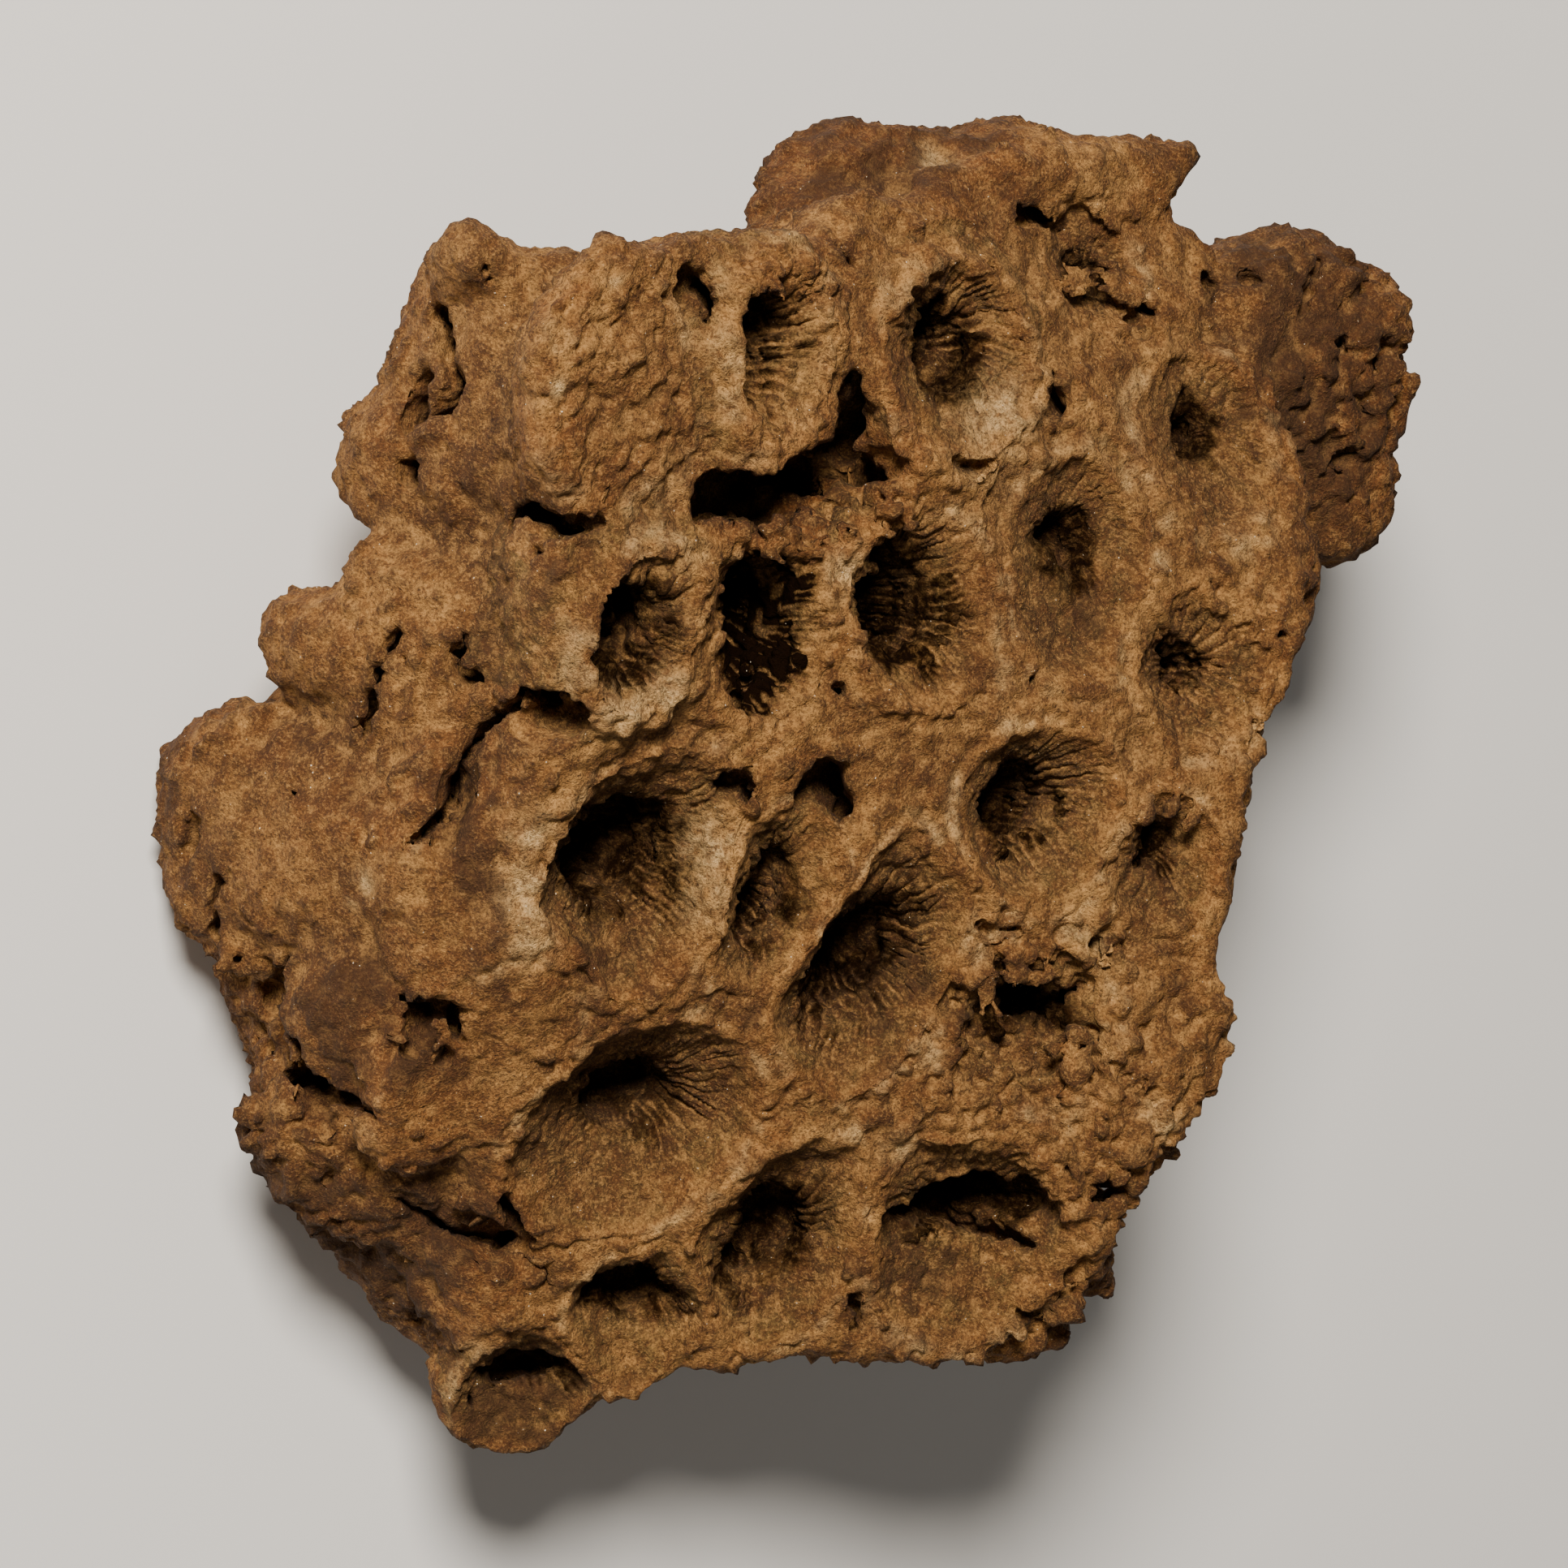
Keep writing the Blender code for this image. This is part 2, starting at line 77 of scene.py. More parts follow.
# Calices: centre x and y, lift above the rim surface, half width, half length, turn of the long
# axis in degrees clockwise from +Y, depth of the pit, height of its boss, share of the rim where
# the hollow starts, septa around the rim, height of the septa, roughness
CALICES = {
    "A1": (-12, 23.3, 0, 5.6, 6.8, 0, 0.8, 0, 0.8, 60, 0, 1.2),
    "A2": (-1.1, 24.3, 1.3, 5.4, 6.4, 5, 8, 0, 0.62, 54, 0.9, 1.3),
    "A3": (12.6, 22.6, 0.9, 6.4, 6.2, 0, 8, 0, 0.84, 60, 1, 1.1),
    "A4": (25.8, 26.7, -0.6, 4.2, 3.7, 0, 6, 0, 0.8, 40, 0.7, 1),
    "A5": (31.6, 16.8, 0, 5.8, 5.9, 0, 7, 0, 0.84, 52, 0.8, 1),
    "B1": (-10.5, 9.6, 1.5, 4.9, 6.1, 8, 6.5, 2, 0.68, 52, 0.7, 1.2),
    "B2": (-1.6, 9.1, 0, 4.6, 5.2, 0, 13, 0, 0.9, 48, 0.7, 1),
    "B3": (9.2, 9.2, 0.2, 5.6, 6, 0, 9, 0, 0.9, 56, 1, 0.9),
    "B4": (20.4, 9.9, 0, 5.6, 7.2, 10, 6.5, 1.2, 0.94, 60, 0.8, 0.9),
    "B5": (28.1, 4.2, -0.4, 5.2, 5, 0, 6.5, 0, 0.84, 50, 0.8, 1.1),
    "C1": (-8.2, -4.7, 0, 6.2, 7.8, 12, 9, 0, 0.92, 66, 0.9, 1),
    "C2": (-0.5, -6.7, 0, 3.7, 5.8, 18, 6, 0.8, 0.97, 44, 0.8, 1),
    "C3": (5.8, -11, 0.3, 5.2, 8.6, 24, 8, 0, 0.96, 66, 0.8, 0.9),
    "C4": (16.6, -3.7, 0.2, 5.7, 6.1, 10, 8, 0, 0.93, 58, 0.9, 0.9),
    "C5": (24.4, -6.9, -0.4, 3.4, 4.6, 10, 6, 0, 0.92, 40, 0.6, 1.1),
    "D1": (-7, -19.9, 0, 7, 7, 20, 7.5, 0, 0.98, 70, 0.9, 0.8),
    "D2": (15.5, -15.9, -0.2, 5.8, 6.2, 10, 5, 0, 0.86, 52, 0.4, 2),
    "D3": (2.5, -28, 0, 4.8, 7.4, 18, 8, 0, 0.95, 58, 0.9, 0.8),
    "D4": (13.2, -28, 0, 6.6, 6.7, 0, 8, 0, 0.93, 60, 0.7, 1),
    "D5": (-4.6, -32.2, 0.2, 3.9, 5.8, 15, 6, 1.2, 0.94, 48, 0.8, 0.9),
    "D6": (-9.3, -36.5, 0, 3.7, 3.8, 0, 4, 0, 0.92, 40, 0.5, 1.3),
    "E1": (-16, -15, -0.8, 4.4, 6.6, 30, 1.4, 0, 0.96, 52, 0, 0.9),
    "R1": (24.8, -17, -1.2, 3.8, 4.6, 0, 1.4, 0, 0.9, 40, 0, 1.8),
    "R2": (20.6, -24.2, -0.8, 3.6, 3.6, 0, 1.4, 0, 0.9, 36, 0, 1.8),
}
# How far a rim may go past its own oval, how sharply it turns where neighbours hold it back, and
# the least cosine towards a neighbour that holds it
REACH = 1.14
ROUNDING = 9.0
FACING = 0.1
# How far from its centre a calice marks the stone, how much its tube overlaps its neighbours' and
# how deep the tube goes
CALICE_REACH = 13.0
OVERLAP = 1.04
WALL_DEPTH = 14.0
# The tube around a calice: share of the rim, share of its depth and share of its lean, and then
# near the rim, share of the rim and depth in millimetres, with a rounded collar in two calices
TUBE_FOOT = ((0.7, 1.0, 1.0), (0.9, 0.5, 0.4))
TUBE_RIM = ((OVERLAP, 1.2), (OVERLAP - 0.03, 0.25), (OVERLAP - 0.1, 0.0))
COLLAR = ((1.0, 2.4), (0.98, 1.5), (0.93, 0.7), (0.85, 0.15), (0.74, 0.0))
COLLARED = ("A2", "B1")
FAN_ROOT = np.array((4.0, -3.0, -30.0))
# The hollow of a calice: from its mouth to the edge of its pit, as shares of the way and of the
# edge's depth, and then the pit, as shares of its own width and of what depth is left
SLOPE = ((1.08, -0.25), (1.0, 0.0), (0.88, 0.18), (0.7, 0.4), (0.45, 0.64), (0.2, 0.85), (0.0, 1.0))
PIT = ((0.97, 0.12), (0.92, 0.4), (0.86, 0.7), (0.7, 0.94))
PIT_FLOOR = 0.5
BOSS_TOP = 0.25
SHALLOW = 2.0

# Pits: place in the plan from the middle of the rim, half width, half length, depth of the edge
PITS = {
    "A2": (-1.1, 0.5, 2.2, 3.6, 1.3),
    "A3": (1, 1.6, 2.3, 3, 2.8),
    "A4": (1.2, 0.5, 1.6, 1.4, 1.8),
    "A5": (0.7, 1.6, 1.5, 1.9, 2.4),
    "B1": (-1.2, 0.5, 2.2, 3.1, 1.4),
    "B2": (-0.1, 0, 3.1, 4.1, 1.6),
    "B3": (-1.1, 0.2, 2.7, 3.6, 2),
    "B4": (0.4, 2.6, 2.2, 2.2, 2.6),
    "B5": (-0.1, 0.7, 1.5, 1.3, 2.4),
    "C1": (-1.1, 0.5, 3.2, 3.4, 3),
    "C2": (-0.1, -0.2, 1.8, 3, 2.2),
    "C3": (0.1, -0.3, 2.5, 4.1, 3),
    "C4": (-1, 1.2, 2.1, 2.6, 2.8),
    "C5": (0.3, 1.1, 1.3, 1.5, 2),
    "D1": (0.5, 0.3, 2.9, 2.1, 3.4),
    "D2": (1.2, 1, 2.5, 1.4, 2),
    "D3": (0.1, -0.3, 2.2, 3, 2.8),
    "D4": (0.2, 0.9, 4.2, 1.8, 2.6),
    "D5": (0.2, 0.8, 2.4, 1.6, 2.4),
    "D6": (0.1, 0.6, 2.3, 1, 1.6),
}
NO_PIT = (0.0, 0.0, 1.0, 1.0, 1.0)
# How much of a pit's painted shade and stain is broken by lighter blotches, where it isn't 0.4
BLOTCH = {
    "A2": 0.55, "B1": 0.6, "B2": 0, "B3": 0.15, "C1": 0.35, "C2": 0.75, "C3": 0.6, "D1": 0.65, "D4": 0.2,
}
# How dark a pit's painted shade and stain is, where it isn't 1
PIT_SHADE_STAIN_STRENGTH = {"B2": 1.4, "B3": 1.1, "D1": 0.75}
RING_POINTS = 96

# The camera: its turn and drop, its distance, what it looks at, and the photograph's scale in
# pixels a millimetre there
VIEW_TURN = math.radians(38.0)
VIEW_DROP = math.radians(8.0)
VIEW_DISTANCE = 350.0
VIEW_CENTRE = np.array((0.0, 0.0, 30.0))
PHOTO_SCALE = 22.0
PHOTO_WIDTH = 1932
SEEN_FROM_TO = (VIEW_DISTANCE - 60, VIEW_DISTANCE + 90)

# Lumps fused to the body: centre, half sizes, turn about Z and lean about Y in degrees
LUMPS = {
    "right_lobe": ((43, 19, 23), (9, 9, 4.6)),
    "right_lobe_tip": ((48.6, 20.5, 24), (3.2, 5.6, 3.8), 10),
    "right_lobe_heel": ((46.8, 12, 23.5), (4.4, 4.2, 3.4)),
    "back_lobe": ((15.4, 31.8, 19), (7.8, 4.2, 4.2)),
    "back_lobe_end": ((10.4, 30, 20.5), (4.5, 3.5, 3.5)),
    "back_lobe_plate": ((22, 32.5, 21.5), (6, 3, 3)),
    "top_plate": ((26, 31.5, 23), (9.5, 3.2, 2.6), 0, 8),
    "left_knob": ((-15.2, 29.4, 22.2), (2.5, 2.2, 3.2)),
    "knob_peak": ((-17, 30.4, 23.6), (1.6, 1.8, 2.4)),
    "knob_heel": ((-14.8, 27.4, 19.5), (2.2, 2.2, 3.4)),
    "knob_bridge": ((-11.6, 28.2, 24.2), (4.4, 2.2, 3.2)),
    "upper_flank": ((-13, 22.6, 21), (4, 7.6, 8), -8),
    "flange": ((-13.6, 18, 17.5), (4.5, 4.6, 7.2), 0, 10),
    "ledge_knob": ((-18.4, 7.4, 13), (3.7, 3.2, 4.8), 0, 10),
    "ledge_bridge": ((-14.6, 7, 19.5), (4.6, 7.2, 7.6), 0, 30),
    "base_plate": ((-19.1, -4, 9.5), (5.2, 8, 8.8), 6, 20),
    "middle_plate": ((-15.5, -4.5, 22), (4.5, 8.5, 6), 0, 45),
    "lower_plate": ((-17, -12.5, 17), (5, 5.5, 6.5), 20, 40),
    "foot_plate": ((-16.5, -21, 12), (5, 6.5, 6), 35, 30),
    "side_plate": ((-10.2, -28.6, 15.5), (4.5, 5.2, 4.5), 30),
    "lower_right": ((22, -20, 31), (5.5, 6.5, 4.5), 0, -15),
    "edge_knob": ((21.6, -27, 30), (2.6, 2.4, 2.8)),
    "lower_edge": ((19.6, -34.5, 27), (3, 3, 3)),
}

LUMP_SQUARE = 2.7

# Ribs down the sides that the photograph doesn't show, each the outside of one buried corallite
RIB_AZIMUTHS = range(-60, 100, 16)
RIB_RADIUS = 5.4
RIB_BURIED = 0.7
RIB_RINGS = 9

# Spines, the broken ends of buried walls: foot, tip and radius of the foot
SPINES = (
    ((-16, 12.2, 16.5), (-21.6, 14, 17.3), 2),
    ((-20.5, 2.5, 9), (-24.4, 5.2, 11), 1.8),
    ((-22, 0.5, 9), (-26.2, 3.6, 8.8), 1.7),
    ((-20, -9, 8.5), (-26.2, -12, 9.4), 2),
    ((-17, -16, 9.5), (-24.6, -19.8, 9.6), 2.2),
    ((33.5, 32, 22.5), (37.3, 33.8, 23.6), 2.2),
    ((30, 0, 31), (33.6, -0.8, 32.6), 1.8),
    ((27.5, -3, 32), (31.8, -4, 33), 1.6),
    ((26, -12.5, 34), (29.2, -13.6, 35), 1.8),
    ((25.5, -18, 33.5), (28.4, -19.2, 35.2), 1.8),
    ((22.5, -31, 28.5), (25.4, -34, 29.8), 1.8),
)

# Holes and cavities that open outwards: centre, half sizes, turn about Z and lean about Y in degrees
HOLES = {
    "wall_pit_1": ((-3, 0.3, 29), (0.9, 0.9, 2.6)),
    "wall_pit_2": ((2.2, 0, 30.2), (1.7, 1.4, 3.2), 20),
    "top_pit_1": ((21.1, 30.2, 25.2), (1.4, 0.9, 2.6), -20),
    "top_pit_2": ((28.7, 23.6, 26.6), (0.9, 0.8, 2.2)),
    "top_pit_3": ((20.2, 20.2, 28.6), (1.1, 1.3, 2.6)),
    "top_pit_4": ((-6.9, 28.2, 30.6), (1.3, 1.5, 2.6)),
    "gap": ((1, 16.4, 29.5), (7.6, 2.5, 4.8), 6),
    "gap_end": ((5.2, 18.8, 29.5), (1.5, 3.4, 4), 15),
    "ledge_slot": ((-15.6, 15.9, 30.2), (3, 1, 1.8)),
    "pocket": ((-15.2, 4.8, 28.6), (3.2, 1.3, 2.6), 10),
    "upper_cavity": ((-19.2, 22.6, 19.4), (2.2, 1.3, 3), 10),
    "upper_cavity_low": ((-20.2, 18, 19.6), (1.8, 0.9, 1.5)),
    "slit_1": ((-21.4, 6.6, 20.6), (2, 3.6, 1.1)),
    "slit_2": ((-18.6, 8.6, 26.4), (2, 0.9, 2.4)),
    "crack": ((-18.6, 1.4, 24.6), (2.2, 4.8, 1), -12, 40),
    "lower_cavity": ((-18.6, -12.6, 21.4), (1.9, 2.2, 1.3), 0, 40),
    "foot_cavity": ((-21.6, -17.6, 14.6), (2, 2.8, 1.3), 10, 40),
    "foot_gap": ((-13.6, -26.2, 19.4), (3.6, 1.3, 2.2), -25),
}

# Narrow hollows, placed by what the photograph shows: the depth in millimetres, and then a chain of
# places, each as x and y in pixels and the hollow's half width there in millimetres
SLOTS = (
    # The left side
    (3, 537, 386, 0.75, 543, 404, 0.68, 551, 430, 0.75, 560, 470, 0.68, 537, 519, 0.45),
    (4, 519, 474, 0.77, 517, 497, 0.84, 503, 516, 0.7, 498, 528, 0.49),
    (5, 501, 569, 0.6, 500, 586, 0.6),
    (2, 571, 594, 0.2, 571, 601, 0.2),
    (1.5, 594, 325, 0.2, 600, 345, 0.2),
    (4.5, 628, 648, 0.33, 632, 628, 0.5, 655, 630, 0.44, 685, 640, 0.55, 708, 652, 0.55),
    (3, 653, 681, 0.35, 657, 685, 0.35),
    (3.5, 491, 778, 0.33, 474, 812, 0.55, 459, 851, 0.55, 445, 894, 0.61),
    (2.5, 496, 812, 0.25, 501, 832, 0.2),
    (3, 573, 776, 0.25, 568, 806, 0.5, 570, 838, 0.6, 592, 838, 0.45),
    (6, 640, 866, 0.5, 664, 866, 0.7, 688, 872, 0.75, 708, 876, 0.55),
    (5, 630, 868, 0.4, 606, 888, 0.45, 580, 920, 0.4, 568, 952, 0.35, 560, 988, 0.35),
    (3, 558, 990, 0.3, 538, 1006, 0.3, 520, 1023, 0.25, 504, 1041, 0.15),
    (2, 545, 1005, 0.2, 556, 1005, 0.2),
    (1.5, 364, 968, 0.25, 365, 975, 0.2),
    (2, 268, 1082, 0.3, 264, 1112, 0.3, 262, 1150, 0.35),
    (0.6, 236, 1008, 0.5, 228, 1060, 0.6),
    (2, 292, 1184, 0.3, 298, 1188, 0.3),
    (1.6, 352, 1186, 0.5, 342, 1212, 0.7, 334, 1234, 0.6),
    (2.5, 487, 1228, 0.3, 510, 1236, 0.4, 540, 1240, 0.6, 575, 1240, 0.3),
    (4.5, 563, 1250, 0.45, 564, 1275, 0.5),
    (3, 549, 1299, 0.45, 545, 1303, 0.4),
    (2, 500, 1302, 0.35, 508, 1301, 0.45),
    (1.5, 696, 1240, 0.15, 697, 1256, 0.15),
    (1.6, 359, 1272, 0.4, 368, 1300, 0.4),
    (3, 356, 1326, 0.5, 392, 1336, 0.8, 424, 1354, 0.5, 454, 1374, 0.4),
    (0.8, 403, 1450, 0.5, 408, 1458, 0.5),
    (4, 494, 1485, 0.2, 530, 1502, 0.3, 562, 1521, 0.35, 597, 1526, 0.5),
    (6, 610, 1526, 0.6, 636, 1522, 0.8, 632, 1500, 0.45, 628, 1476, 0.3),
    (0.8, 669, 1560, 0.6, 671, 1580, 0.5),
    (0.8, 506, 1624, 0.5, 510, 1632, 0.5),
    (1, 560, 1655, 0.4, 566, 1660, 0.4),
    (2.5, 580, 1722, 0.25, 584, 1736, 0.25),
    (2, 612, 1692, 0.5, 640, 1678, 0.8, 668, 1680, 0.6),
    # Between the cups of the upper half
    (4, 852, 348, 0.5, 864, 368, 0.6, 874, 392, 0.35),
    (2.5, 1030, 302, 0.2, 1048, 322, 0.35, 1056, 336, 0.2),
    (6, 1056, 462, 0.4, 1052, 490, 0.7, 1042, 530, 1.1, 1020, 560, 1.2),
    (5, 856, 640, 0.5, 872, 606, 0.9, 920, 596, 0.7, 980, 592, 1.1, 1040, 580, 1.2, 1090, 590, 0.6),
    (4, 1254, 256, 0.35, 1268, 264, 0.5, 1286, 277, 0.35),
    (1.5, 1222, 326, 0.2, 1223, 328, 0.2),
    (2.5, 1256, 417, 0.3, 1258, 420, 0.3),
    (1.5, 1279, 360, 0.2, 1279, 363, 0.2),
    (4.5, 1302, 466, 0.45, 1297, 482, 0.6, 1300, 504, 0.6),
    (3, 1404, 382, 0.25, 1411, 391, 0.4),
    (1.5, 1180, 570, 0.3, 1200, 573, 0.4, 1228, 572, 0.2),
    # The right lobe
    (1.5, 1487, 344, 0.6, 1500, 366, 0.5),
    (1.2, 1542, 344, 0.5, 1546, 352, 0.5),
    (1, 1624, 318, 0.35, 1618, 350, 0.4, 1606, 384, 0.3),
    (2.5, 1655, 416, 0.4, 1655, 428, 0.4),
    (1.6, 1706, 420, 0.5, 1696, 450, 0.5),
    (1.2, 1663, 548, 0.4, 1650, 570, 0.4),
    # Seams, webs and worn cups of the lower half
    (3, 1036, 848, 0.3, 1041, 858, 0.4),
    (4, 910, 966, 0.6, 913, 980, 0.65),
    (5, 1012, 950, 0.6, 1018, 968, 1, 1028, 988, 0.8),
    (1.5, 1272, 834, 0.35, 1274, 846, 0.35),
    (1.5, 1576, 780, 0.3, 1580, 786, 0.3),
    (1.2, 1202, 1138, 0.2, 1230, 1148, 0.2, 1258, 1142, 0.25),
    (1.5, 1350, 1148, 0.2, 1354, 1168, 0.25, 1359, 1190, 0.25),
    (4, 1240, 1252, 0.6, 1254, 1232, 0.7, 1270, 1226, 0.4),
    (3, 1288, 1224, 0.4, 1312, 1222, 0.5, 1334, 1216, 0.4),
    (4, 1366, 1462, 0.8, 1352, 1482, 0.5),
    (2.5, 1160, 1486, 0.8, 1200, 1506, 0.7, 1268, 1534, 0.5),
    (2.5, 1050, 1604, 0.3, 1056, 1640, 0.5),
    (2, 1400, 1062, 0.4, 1408, 1070, 0.4),
)

# A slot's rods: their spacing and sideways waver in half widths, how far they start above the skin
# in millimetres, and how much of their width is left at the end
SLOT_STEP = 0.45
SLOT_WAVER = 0.12
SLOT_MOUTH = 0.6
SLOT_TAPER = 0.7

# Layers that stand proud of the side: height in millimetres and outline in pixels
PLATES = {
    "middle": (1, (
        (652, 884), (622, 892), (600, 912), (580, 944), (570, 984), (548, 1016), (508, 1048), (446, 1088),
        (424, 1130), (430, 1168), (455, 1198), (487, 1222), (523, 1232), (566, 1236), (612, 1216),
        (700, 1200), (720, 1000), (730, 900),
    )),
    "pale_strip": (0.35, (
        (640, 960), (618, 1060), (606, 1120), (622, 1180), (680, 1180), (700, 1060), (720, 940),
        (680, 930),
    )),
    "lower": (0.7, (
        (440, 1386), (480, 1350), (540, 1322), (600, 1340), (660, 1360), (640, 1430), (622, 1490),
        (596, 1512), (560, 1512), (520, 1488), (480, 1472), (430, 1440),
    )),
    "foot": (0.6, (
        (520, 1530), (560, 1545), (650, 1548), (684, 1592), (690, 1636), (640, 1650), (590, 1656),
        (556, 1620),
    )),
    "dark": (0.35, (
        (380, 1180), (424, 1176), (470, 1222), (530, 1246), (548, 1290), (500, 1310), (420, 1330),
        (372, 1290), (360, 1230),
    )),
    "upper_knob": (0.5, (
        (332, 744), (376, 738), (436, 742), (440, 800), (424, 860), (360, 850), (340, 800),
    )),
}

# Combs of fine ridges that fan out from a centre: centre in pixels, ridges in a full turn, height
# in millimetres and outline in pixels
COMBS = {
    "open_cup": ((-860, 1420), 820, 0.34, (
        (490, 1262), (560, 1226), (712, 1222), (722, 1300), (690, 1350), (600, 1352),
    )),
    "worn_fan": ((668, 486), 66, 0.42, (
        (650, 480), (700, 380), (800, 340), (880, 400), (884, 560), (830, 650), (700, 650),
    )),
}
# Height above which the combs' part of the skin is fine enough for their ridges
FAN_LEVEL = 20.0

# Crumbled zones: centre, radius and how much coarser than elsewhere
CRUMBLED = (
    ((1.5, 15.5, 29), (9, 3.6, 6), 1.4),
    ((15.5, -15, 31), (7, 7, 6), 0.8),
    ((22.5, -21, 31), (6.5, 9.5, 7), 0.85),
    ((20, -32, 28), (5.5, 5.5, 6), 0.9),
    ((45, 18.5, 24), (8, 9, 7), 1.1),
    ((-9.5, -37, 28), (5, 5, 6), 0.9),
    ((-13, 23, 31), (7, 8, 5), 0.35),
    ((-20, -20, 9), (7, 12, 8), 0.9),
    ((30, 3, 31), (4, 9, 6), 0.7),
)

# Fine relief, in millimetres
SEPTUM_HEIGHT = 0.5
CREST_HEIGHT = 0.22
LUMP_HEIGHT = 0.5
CRUMB_HEIGHT = 0.19
GRAIN_HEIGHT = 0.13
WARP = 0.225
PORE_DEPTH = 0.4

# Colours of the stone, linear
UMBER = (0.112, 0.041, 0.0092, 1)
OCHRE = (0.27, 0.121, 0.029, 1)
TAN = (0.45, 0.235, 0.072, 1)
RUST = (0.18, 0.055, 0.0095, 1)
DARK_RUST = (0.085, 0.028, 0.006, 1)
# Painted shade on cup walls that face away from the key lamp
OLIVE_SHADE = (0.095, 0.06, 0.014, 1)
# Dark grain specks, and painted shade in recesses, creases and deep cups
DARK_GRAIN_AND_SHADE = (0.036, 0.0135, 0.003, 1)
# Painted shade and stain, near black deep in the pits
PIT_SHADE_STAIN_BLACK = (0.007, 0.0028, 0.0008, 1)
PALE = (0.62, 0.41, 0.18, 1)
# Near-white crystal specks, partly painted glints
CRYSTAL_GLINT = (0.8, 0.7, 0.55, 1)

# Sizes of the three grains of the stone in millimetres, with their detail and roughness
GRAINS = {"medium": (0.5, 4.0, 0.75), "fine": (0.17, 3.0, 0.75), "blotch": (1.3, 5.0, 0.72)}
# Layers of colour over the umber, from the first to the last: what steers the layer, its values at
# the start and at the end of the range, the layer's strength at each, and its colour
LAYERS = (
    ("tone", -1.1, 0.6, 0, 1, OCHRE),
    ("tone", 0.1, 1.3, 0, 0.8, TAN),
    ("reddish", 0, 1, 0, 0.8, RUST),
    # Painted shade: an olive tint on cup walls that face away from the key lamp
    ("olive_shade", 0, 1, 0, 0.85, OLIVE_SHADE),
    # Painted shade: darker where much stone lies around, in recesses and pores
    ("cavity_shade", 0.52, 0.74, 0, 0.92, DARK_GRAIN_AND_SHADE),
    # Painted shade darkens the creases; the next layer makes sharp edges paler, as wear
    ("hollow", 0, 0.22, 0, 0.75, DARK_GRAIN_AND_SHADE),
    ("hollow", -0.02, -0.2, 0, 0.6, TAN),
    # Pale stone on the rims and strips, and painted light on a few cup walls that face the key lamp
    ("pale_and_lit", 0, 1, 0, 1, PALE),
    ("blotch", 0.38, 0.5, 0.6, 0, DARK_RUST),
    ("blotch", 0.54, 0.66, 0, 0.45, TAN),
    ("medium", 0.32, 0.5, 0.85, 0, UMBER),
    ("medium", 0.53, 0.68, 0, 0.5, TAN),
    ("fine", 0.32, 0.52, 0.85, 0, DARK_GRAIN_AND_SHADE),
    ("fine", 0.54, 0.68, 0, 0.55, TAN),
    # Darkest where the tone is lowest, which takes in the painted shade deep in the cups
    ("tone", -0.5, -1.8, 0, 0.7, DARK_GRAIN_AND_SHADE),
)
# Spacing and size of the crystal specks, which are partly painted glints
CRYSTAL_GLINT_SPACING = 0.36
CRYSTAL_GLINT_SHARE = 0.13
BUMP_MEDIUM = 0.5
BUMP_FINE = 0.3
BUMP_STRENGTH = 0.8

# Zones that are darker or lighter than the rest: centre, reach, change of tone. The lighter zones
# on the walls of B1, C1, B4 and A5 that face the key lamp are painted light
TONE_AND_LIGHT_ZONES = (
    ((-17, -27, 10), (9, 11, 11), -1.2),
    ((-20.5, -13, 19), (4.5, 4.5, 6), -2),
    ((-17, -2, 26), (4, 7, 4.5), -1.5),
    ((-22, -2, 15), (5, 8, 6), -0.25),
    ((-17, 20, 24), (4, 7, 6), -0.3),
    ((43, 20, 25), (9, 11, 7), -2.2),
    ((13, 34, 20), (12, 5, 6), -1.2),
    ((-8.5, -37.5, 17), (5, 5, 5), -1.5),
    ((1.5, 15.5, 28), (8, 3.5, 5), -1),
    ((15, 19, 31), (4, 3.5, 4), 0.6),
    ((-10.6, 4.5, 30.8), (4.5, 2.4, 3), 1.9),
    ((-4.3, -4, 27.9), (2.2, 6, 3), 1.6),
    ((-15.2, -4, 27.4), (1.8, 6, 2.6), 2),
    ((25, 9.5, 31.5), (3, 7, 3), 0.8),
    ((34, 11, 31.3), (3, 6, 3), 0.8),
    ((21, -19.5, 34), (5, 7, 6), 0.6),
)

# Reddish zones: centre, reach, and the shares of the reach where they start to fade and end
REDDISH_ZONES = (
    ((45, 17.5, 0), (1, 1, math.inf), 4, 10),
    ((13, 33, 19), (1 / 0.7, 1, 1), 4, 9),
    ((1, 16.4, 28), (1 / 0.7, 1 / 1.2, 1 / 0.8), 3, 7),
)

# Pale spots and strips: place in pixels and reach in millimetres. The spots on the lower wall of B1
# and on the right wall of C1 are painted light where the key lamp falls
PALE_AND_LIT_SPOTS = (
    (760, 340, 0.5), (590, 1668, 0.8), (450, 1085, 0.7), (436, 1104, 0.5), (1482, 192, 0.6),
    (1220, 512, 2.2), (660, 1030, 1.3), (655, 1100, 1.6), (660, 1160, 1.3), (775, 878, 1.6),
    (825, 868, 1.5), (868, 1040, 1.5), (868, 1100, 1.4), (1045, 700, 1), (905, 1040, 0.8),
    (1436, 640, 0.5), (1432, 690, 0.5), (510, 1040, 0.4), (690, 480, 0.6), (1150, 200, 1.2),
    (1350, 1160, 0.6), (1440, 1390, 0.6), (1110, 1412, 1),
)

# Pieces of the top, from the front to the back, and where each ends along Y
CUP_BANDS = [f"coral_cups_{band}" for band in ("end", "lower", "middle", "upper", "back")]
BAND_ENDS = (-24, -12, 1.5, 15)
BACK_SPLIT = 13
BAND_DEPTH = 9.0
LEFT_SIDE = (105, 262)

